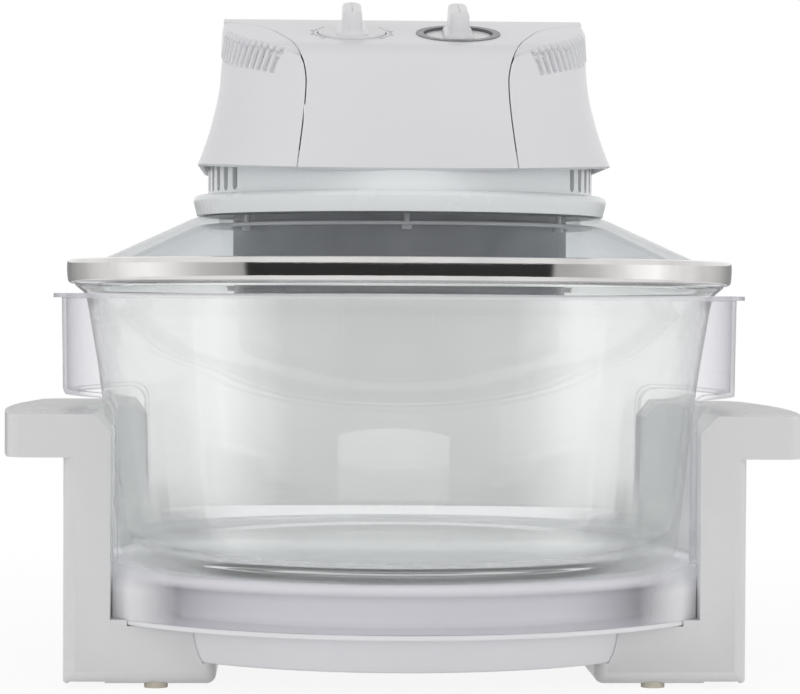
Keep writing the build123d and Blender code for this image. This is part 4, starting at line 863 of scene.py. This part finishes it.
def coverLine():
    skirtZ = head["skirtZ"]
    rise, steps, last = cover["frontRise"], cover["frontSteps"], cover["backSteps"]
    front = [skirtZ + rise * i / steps for i in range(steps + 1)]
    back = [cover["backFrom"] - (cover["backFrom"] - skirtZ) * i / last for i in range(1, last + 1)]
    bendZ, bendUp, rounding = cover["bend"]
    line = [Vector((-headDeep(z), z)) for z in front]
    line += [spot for spot in topLine if spot.y > cover["topFrom"] and spot.x < cover["topTo"]]
    line += softened([
        (cover["topTo"], topHeight(cover["topTo"])), (headDeep(bendZ), bendUp, rounding),
        (headDeep(cover["bendEnd"]), cover["bendEnd"]),
    ])[1:]
    return line + [Vector((headDeep(z), z)) for z in back]


def arcAt(off):
    # how far a corner's arc reaches at this distance from its middle
    return math.sqrt(max(0.0, head["corner"] ** 2 - off ** 2))


def makeHeadCover():
    corner = head["corner"]
    grid = []
    for y, z in coverLine():
        half, deep = headHalf(z), headDeep(z)
        far = half
        if abs(y) > deep - corner:
            far = half - corner + arcAt(abs(y) - (deep - corner))
        onWall = abs(y) > deep - cover["wallWithin"] or (z < cover["backFrom"] and y > 0)
        reach = seamHalf(z) if onWall else min(seamHalf(z), far)
        fade = max(0.0, 1.0 - (deep - abs(y)) / cover["cornerFade"])
        cornered = 1.0 if z < head["shoulder"] else fade
        row = []
        for step in range(cover["acrossSteps"] + 1):
            x = reach * (2.0 * step / cover["acrossSteps"] - 1.0)
            inset = corner - arcAt(max(0.0, abs(x) - (half - corner)))
            deeper = y + inset * cornered * (1.0 if y < 0 else -1.0)
            row.append((x, deeper, dipped(x, deeper, z)))
        grid.append(row)
    made = standing("middleCover", weave(grid), "headWhite", cover["outward"])
    cutters = []
    for side, radius, depth in cover["wells"]:
        line = ((0, -depth), (radius, -depth), (radius, cover["wellUp"]), (0, cover["wellUp"]))
        disc = turned([Vector(point) for point in line], cover["wellSteps"], False)
        disc.transform(onPanel(side))
        cutters.append(standing("cutter", disc, "headWhite"))
    thicken(made, cover["wall"], cutters)
    mounted(made, "lid", ["head_cover"], cover["soften"])


cheek = {
    "wall": 2.4,
    "soften": 0.35,
    "crease": 40.0,
    "outward": (40, 0, 280),
    # steps round it: the front corner, the side and the back corner
    "frontSteps": 190,
    "sideSteps": 26,
    "backSteps": 36,
    # steps up it: the wall, the band with the ribs, the rounded edge and the top
    "wallSteps": 16,
    "band": 16.0,
    "bandSteps": 26,
    "edge": 3.0,
    "edgeSteps": 5,
    "topSteps": 24,
    "topRise": 0.6,
    "topGuess": 300.0,
    "flatEnds": 20,  # one in this many parts of a corner is the flat stretch to the seam
    # a slight step under the band, from this many degrees round the corner
    "stepIn": 0.6,
    "stepFrom": 30.0,
    "stepFade": 25.0,
    "stepRise": 0.8,
    "stepLength": 30.0,
}

# the ribs stand between these grooves: angles in degrees round the corner
ribs = {
    "count": 12,
    "first": 21.0,
    "pitch": 4.7,
    "width": 1.9,
    "flank": 0.4,
    "depth": 1.9,
    "length": 14.0,
    "lean": 0.33,
    "bend": 3.4,
    "fade": 0.8,
    "topShare": 0.5,
}


def cheekEdge(t, z):
    # once round a cheek at this height: 0 to 1 is the front corner, 1 to 2 the side, 2 to 3 the
    # back corner; gives the place and the way outwards
    corner = head["corner"]
    across, along = headHalf(z) - corner, headDeep(z) - corner
    seam = seamHalf(min(z, head["shoulder"])) + head["seamGap"]
    start = math.asin(portion((seam - across) / corner))
    short = max(0.0, across - seamHalf(z) - head["seamGap"])
    if 1 < t <= 2:
        return headHalf(z), -along + 2 * along * (t - 1), 1.0, 0.0
    front = t <= 1
    turn = t if front else 3 - t
    angle = start + (math.pi / 2 - start) * turn
    flat = short * max(0.0, 1 - turn * cheek["flatEnds"])
    outX, outY = math.sin(angle), -math.cos(angle) if front else math.cos(angle)
    y = -along - corner * math.cos(angle) if front else along + corner * math.cos(angle)
    return across + corner * outX - flat, y, outX, outY


def ribShare(x, y, drop=0.0):
    # how deep in a rib's groove this place is, 0 to 1, how far inside the corner, and its angle
    corner = head["corner"]
    across = headHalf(head["shoulder"]) - corner
    along = across - head["lessDeep"]
    angle = math.degrees(math.atan2(x - across, -(y + along)) - ribs["lean"] * drop / corner)
    inside = corner - math.hypot(x - across, y + along)
    nearest = round((angle - ribs["first"]) / ribs["pitch"])
    if not 0 <= nearest < ribs["count"]:
        return 0.0, inside, angle
    off = math.radians(abs(angle - ribs["first"] - nearest * ribs["pitch"])) * corner
    return portion((ribs["width"] / 2 + ribs["flank"] / 2 - off) / ribs["flank"]), inside, angle


def cheekColumn(t):
    # the points of a cheek from its skirt to its inner top edge
    x, y, _, _ = cheekEdge(t, cheek["topGuess"])
    top = min(topHeight(y), seamHeight(x))
    x, y, outX, outY = cheekEdge(t, top)
    top = min(topHeight(y), seamHeight(x))
    ribbed = ribs["depth"] if y < 0 else 0.0
    foot, band, edge = head["skirtZ"], cheek["band"], cheek["edge"]
    steps, bandSteps = cheek["wallSteps"], cheek["bandSteps"]
    levels = [foot + (top - band - foot) * i / steps for i in range(steps)]
    levels += [top - band + (band - edge) * i / bandSteps for i in range(bandSteps + 1)]
    column = []
    for z in levels:
        wallX, wallY, wayX, wayY = cheekEdge(t, z)
        below = top - z - ribs["length"]
        depth, _, angle = ribShare(wallX, wallY, top - z)
        depth *= portion(-below / ribs["fade"]) * ribbed
        step = portion((angle - cheek["stepFrom"]) / cheek["stepFade"])
        step *= portion(below / cheek["stepRise"]) * max(0.0, 1.0 - below / cheek["stepLength"])
        depth += cheek["stepIn"] * step
        column.append((wallX - wayX * depth, wallY - wayY * depth, dipped(wallX, wallY, z)))
    start = Vector((*cheekEdge(t, top - edge)[:2], top - edge))
    over = Vector((x, y, top))
    inX, inY = x - outX * edge, y - outY * edge
    inner = Vector((inX, inY, min(topHeight(inY), top + cheek["topRise"])))
    bends = [k / cheek["edgeSteps"] for k in range(1, cheek["edgeSteps"] + 1)]
    path = [start * (1 - k) ** 2 + over * 2 * k * (1 - k) + inner * k ** 2 for k in bends]
    target = min(inX, seamHalf(inner.z) + head["seamGap"])
    for k in range(1, cheek["topSteps"] + 1):
        path.append(Vector((inX + (target - inX) * k / cheek["topSteps"], inY, inner.z)))
    for spot in path:
        depth, inside, _ = ribShare(spot.x, spot.y)
        depth *= portion((ribs["bend"] - inside) / ribs["fade"]) * ribbed
        back = depth * ribs["topShare"]
        column.append((spot.x - outX * back, spot.y - outY * back, spot.z - depth))
    return column


def makeCheeks():
    front, flank, back = cheek["frontSteps"], cheek["sideSteps"], cheek["backSteps"]
    places = [i / front for i in range(front)] + [1 + i / flank for i in range(flank)]
    places += [2 + i / back for i in range(back + 1)]
    columns = [cheekColumn(t) for t in places]
    outX, outY, outZ = cheek["outward"]
    for side, name, node in ((1, "cheekRight", "right_cheek"), (-1, "cheekLeft", "left_cheek")):
        mesh = weave([[(side * x, y, z) for x, y, z in column] for column in columns])
        made = standing(name, mesh, "headWhite", (side * outX, outY, outZ))
        thicken(made, cheek["wall"])
        mounted(made, "lid", [node], cheek["soften"], cheek["crease"])


makeHeadCover()
makeCheeks()
print("head covers shaped")

dials = {
    "radius": 16.2,
    "taper": 0.2,
    "roundings": (0.3, 1.1),
    "spacing": 3.0,
    "steps": 128,
    # height over the panel, half length and half width of the blade
    "blade": [
        (0.6, 16.0, 7.6), (1.1, 15.9, 6.6), (1.8, 15.6, 5.8), (2.8, 15.3, 5.2), (4.2, 15.0, 4.85),
        (8.0, 14.9, 4.7), (10.6, 14.85, 4.6), (11.5, 14.6, 4.35), (12.1, 14.1, 3.8),
        (12.42, 13.2, 2.9), (12.5, 11.8, 1.6), (12.5, 10.6, 0.05),
    ],
    "bladeHeight": 12.5,
    "bladeSink": 0.4,
    "bladeFoot": 0.3,
    "bladeSteps": 72,
    "crease": 50.0,
    "pointer": {"size": (0.9, 7.0, 0.16), "place": (0, -7.5, 12.46), "soften": 0.04},
    "timer": {"side": 1, "low": -3.0, "high": -0.8, "body": "timer_dial", "node": "timer_knob"},
    "heat": {
        "side": -1, "low": -2.5, "high": 1.0, "body": "thermostat_dial", "node": "thermostat_knob",
    },
}


def block(size, place, turn=0.0):
    # a straight block of this size in millimetres, turned about Z
    mesh = bmesh.new()
    shape = Matrix.Diagonal((*[length * mm for length in size], 1.0))
    shape = Matrix.Translation([length * mm for length in place]) @ shape
    bmesh.ops.create_cube(mesh, size=1.0, matrix=Matrix.Rotation(turn, 4, "Z") @ shape)
    return mesh


def makeDial(name):
    dial = dials[name]
    low, high, radius = dial["low"], dial["high"], dials["radius"]
    lowRounding, highRounding = dials["roundings"]
    disc = turned(evenly(softened([
        (0, low), (radius - dials["taper"], low, lowRounding), (radius, high, highRounding),
        (0, high),
    ]), dials["spacing"]), dials["steps"], False)
    foot = dials["blade"][0][1:]
    rows = [(high - dials["bladeSink"], *foot)]
    for up, *size in dials["blade"]:
        rows.append((up + max(high, 0.0) * (1 - up / dials["bladeHeight"]), *size))
    if high < 0:
        rows[1] = (high + dials["bladeFoot"], *foot)
    outline = []
    for up, length, width in rows:
        ring = []
        for i in range(dials["bladeSteps"]):
            angle = 2 * math.pi * i / dials["bladeSteps"]
            shift = (length - width) * (1 if math.sin(angle) >= 0 else -1)
            ring.append((width * math.cos(angle), shift + width * math.sin(angle), up))
        outline.append(ring)
    whole = joined([disc, weave(outline, True)])
    whole.transform(onPanel(dial["side"]))
    made = standing(name + "Dial", whole, "dialWhite")
    mounted(made, dial["body"], [dial["node"]], 0.0, dials["crease"])
    pointer = dials["pointer"]
    line = block(pointer["size"], pointer["place"])
    line.transform(onPanel(dial["side"]))
    made = standing(name + "Pointer", line, "markPale")
    mounted(made, dial["body"], (), pointer["soften"])


# the strokes round each dial: angles in degrees, lengths in millimetres
marks = {
    "width": 0.42,
    "height": 0.10,
    "lift": 0.03,
    "soften": 0.03,
    "heat": {
        "look": "markGrey", "side": -1, "from": -135, "to": 135, "count": 28, "inner": 18.0,
        "short": 1.4, "long": 2.6, "every": 3, "up": 0.0,
    },
    "timer": {
        "look": "markPale", "side": 1, "from": -150, "to": 150, "count": 31, "inner": 17.3,
        "short": 1.2, "long": 2.3, "every": 5, "up": 0.4,
    },
}


def makeMarks(name):
    row = marks[name]
    strokes = []
    for i in range(row["count"]):
        turn = math.radians(row["from"] + (row["to"] - row["from"]) * i / (row["count"] - 1))
        length = row["long"] if i % row["every"] == 0 else row["short"]
        place = (0, row["inner"] + length / 2, row["up"] + marks["lift"])
        strokes.append(block((marks["width"], length, marks["height"]), place, -turn))
    whole = joined(strokes)
    whole.transform(onPanel(row["side"]))
    made = standing(name + "Marks", whole, row["look"])
    mounted(made, "lid", (), marks["soften"])


for name in ("timer", "heat"):
    makeDial(name)
for name in ("heat", "timer"):
    makeMarks(name)
print("dials made")

studioFloor = {
    "half": 6.0,
    "tone": (0.93, 0.93, 0.93),
    "otherTone": (0.95, 0.95, 0.95),
    "grain": {"scale": 5.0, "detail": 3.0},
    "rough": 0.8,
    # how much of it is plain white: close to the oven, where its shadow falls, and far away
    "glow": (0.90, 0.995),
    "glowReach": (0.15, 0.65),
}


def flatMesh(name, points, faces, material):
    mesh = bpy.data.meshes.new(name)
    mesh.from_pydata(points, [], faces)
    mesh.materials.append(material)
    return mesh


def whereSeen(finish, unseen=0.0, seen=1.0):
    # one value for the camera, for mirrors and through glass, another for the light on the oven
    path = finish.node("LightPath")
    rays = path + path.also("Is Glossy Ray") + path.also("Is Transmission Ray")
    return finish.between(rays, 0.0, 1.0, unseen, seen)


def makeFloor():
    finish = Finish("paleFloor")
    spot = finish.axes()
    away = (spot * spot + spot.also("Y") * spot.also("Y")) ** 0.5
    share = finish.between(away, *studioFloor["glowReach"], *studioFloor["glow"])
    share = share * whereSeen(finish)
    grain = finish.noise(**studioFloor["grain"])
    tone = finish.mix(grain, studioFloor["tone"], studioFloor["otherTone"])
    matt = finish.principled({"Base Color": tone, "Roughness": studioFloor["rough"]})
    glow = finish.node("Emission", {}, {"Color": (1.0, 1.0, 1.0), "Strength": 1.0})
    half = studioFloor["half"]
    corners = [(-half, -half, 0), (half, -half, 0), (half, half, 0), (-half, half, 0)]
    material = finish.shown(finish.blend(share, matt, glow))
    floor = placed("floor", flatMesh("floor", corners, [(0, 1, 2, 3)], material))


viewpoint = {
    "azimuth": -2.2,  # degrees
    "distance": 1.4,
    "height": 0.180,
    "aim": (0.0005, 0.0, 0.157),
    "lens": 126.0,
    "sensor": 36.0,
    "nearest": 0.05,
    "roll": 0.3,
}


def standAround(name, points, faces, material):
    # a thing of the studio that lights nothing and that the camera never sees directly
    made = placed(name, flatMesh(name, points, faces, material))
    made.rotation_euler.z = math.radians(viewpoint["azimuth"])
    made.visible_camera = made.visible_diffuse = made.visible_shadow = False
    made.visible_transmission = made.visible_glossy = False
    return made


# a low wall of light and shade round the object, mirrored in the polished band
surround = {
    "radius": 1.15,
    "low": 0.002,
    "high": 0.25,
    "steps": 96,
    "strength": (1.30, 1.40),
    "strengthAcross": (-0.5, 0.5),
    # its tone from straight in front, at 0, to straight behind, at 1
    "tones": [
        (0.0, 0.03), (0.268, 0.03), (0.274, 0.36), (0.36, 0.52), (0.45, 0.86), (0.50, 0.97),
        (0.68, 0.56), (0.83, 0.23),
    ],
}


def makeSurround():
    steps = surround["steps"]
    points = []
    for i in range(steps):
        turn = 2 * math.pi * i / steps
        x, y = surround["radius"] * math.sin(turn), -surround["radius"] * math.cos(turn)
        points += [(x, y, surround["low"]), (x, y, surround["high"])]
    last = 2 * steps
    faces = [(i, (i + 2) % last, (i + 3) % last, i + 1) for i in range(0, last, 2)]
    finish = Finish("surround")
    spot = finish.axes()
    share = abs(spot.math("ARCTAN2", spot, spot.also("Y") * -1.0)) / math.pi
    stops = [(where, (tone, tone, tone)) for where, tone in surround["tones"]]
    tone = finish.node("ValToRGB", {"stops": stops}, {0: share})
    strength = finish.between(spot, *surround["strengthAcross"], *surround["strength"])
    glow = finish.node("Emission", {}, {"Color": tone, "Strength": strength})
    standAround("surround", points, faces, finish.shown(glow)).visible_glossy = True


# painted shade: a soft grey card behind the bowl, seen only through its glass, darker in the middle
# and at the foot, stands in for the shade inside the bowl
shadeCardBehindBowl = {
    "away": 0.45,
    "half": 0.5,
    "high": 0.6,
    "colour": (0.99, 1.0, 0.98),
    "across": (0.080, 0.126),
    "strength": (0.60, 1.04),
    "footUp": (0.0, 0.11),
    "footShare": (0.76, 1.0),
}


def makeBackCard():
    half, away, high = shadeCardBehindBowl["half"], shadeCardBehindBowl["away"], shadeCardBehindBowl["high"]
    points = [(-half, away, 0.0), (half, away, 0.0), (half, away, high), (-half, away, high)]
    finish = Finish("shadeCardBehindBowl")
    spot = finish.axes()
    # painted shade, darker in the middle and towards the foot
    tone = finish.between(abs(spot), *shadeCardBehindBowl["across"], *shadeCardBehindBowl["strength"])
    tone = tone * finish.between(spot.also("Z"), *shadeCardBehindBowl["footUp"], *shadeCardBehindBowl["footShare"])
    glow = finish.node("Emission", {}, {"Color": shadeCardBehindBowl["colour"], "Strength": tone})
    made = standAround("shadeCardBehindBowl", points, [(0, 1, 2, 3)], finish.shown(glow))
    made.visible_transmission = True


sky = {"colour": (1.0, 1.0, 1.0), "light": 0.57, "seen": 1.0}


def makeSky():
    finish = Finish("sky", sky=True)
    strength = whereSeen(finish, sky["light"], sky["seen"])
    glow = finish.node("Background", {}, {"Color": sky["colour"], "Strength": strength})
    bpy.context.scene.world = finish.shown(glow)


def aim(thing, target):
    direction = Vector(target) - thing.location
    thing.rotation_euler = direction.to_track_quat("-Z", "Y").to_euler()


softLights = {
    "overhead": {"at": (0.1, -0.6, 2.0), "size": (2.4, 1.8), "watts": 0.8},
    "frontPanel": {"at": (0.0, -2.6, 0.32), "size": (2.4, 0.55), "watts": 11.0},
    "leftPanel": {"at": (-2.2, -1.0, 0.9), "size": (1.6, 2.0), "watts": 8.0},
    "rightPanel": {"at": (2.2, -1.0, 0.9), "size": (1.6, 2.0), "watts": 8.0},
}
lightsAim = (0.0, 0.0, 0.2)


def makeLights():
    for name, light in softLights.items():
        data = bpy.data.lights.new(name, "AREA")
        data.shape = "RECTANGLE"
        data.size, data.size_y = light["size"]
        data.energy = light["watts"]
        lamp = placed(name, data)
        lamp.location = light["at"]
        aim(lamp, lightsAim)
        lamp.visible_glossy = False


# a weak lamp inside the bowl, for what its glass keeps in the shade
bowlFill = {"at": (0.0, 0.0, 0.115), "radius": 0.05, "watts": 0.40}


def makeBowlFill():
    data = bpy.data.lights.new("bowlFill", "POINT")
    data.shadow_soft_size = bowlFill["radius"]
    data.energy = bowlFill["watts"]
    lamp = placed("bowlFill", data)
    lamp.location = bowlFill["at"]
    lamp.visible_glossy = lamp.visible_transmission = lamp.visible_camera = False


def makeCamera():
    data = bpy.data.cameras.new("camera")
    data.lens = viewpoint["lens"]
    data.sensor_width = viewpoint["sensor"]
    data.clip_start = viewpoint["nearest"]
    camera = placed("camera", data)
    turn, distance = math.radians(viewpoint["azimuth"]), viewpoint["distance"]
    camera.location = (distance * math.sin(turn), -distance * math.cos(turn), viewpoint["height"])
    aim(camera, viewpoint["aim"])
    camera.rotation_euler.rotate_axis("Z", math.radians(viewpoint["roll"]))
    bpy.context.scene.camera = camera


makeFloor()
makeSurround()
makeBackCard()
makeSky()
makeLights()
makeBowlFill()
makeCamera()
bpy.context.scene.view_settings.view_transform = "Standard"
print("stage and camera set")

bpy.context.view_layer.update()
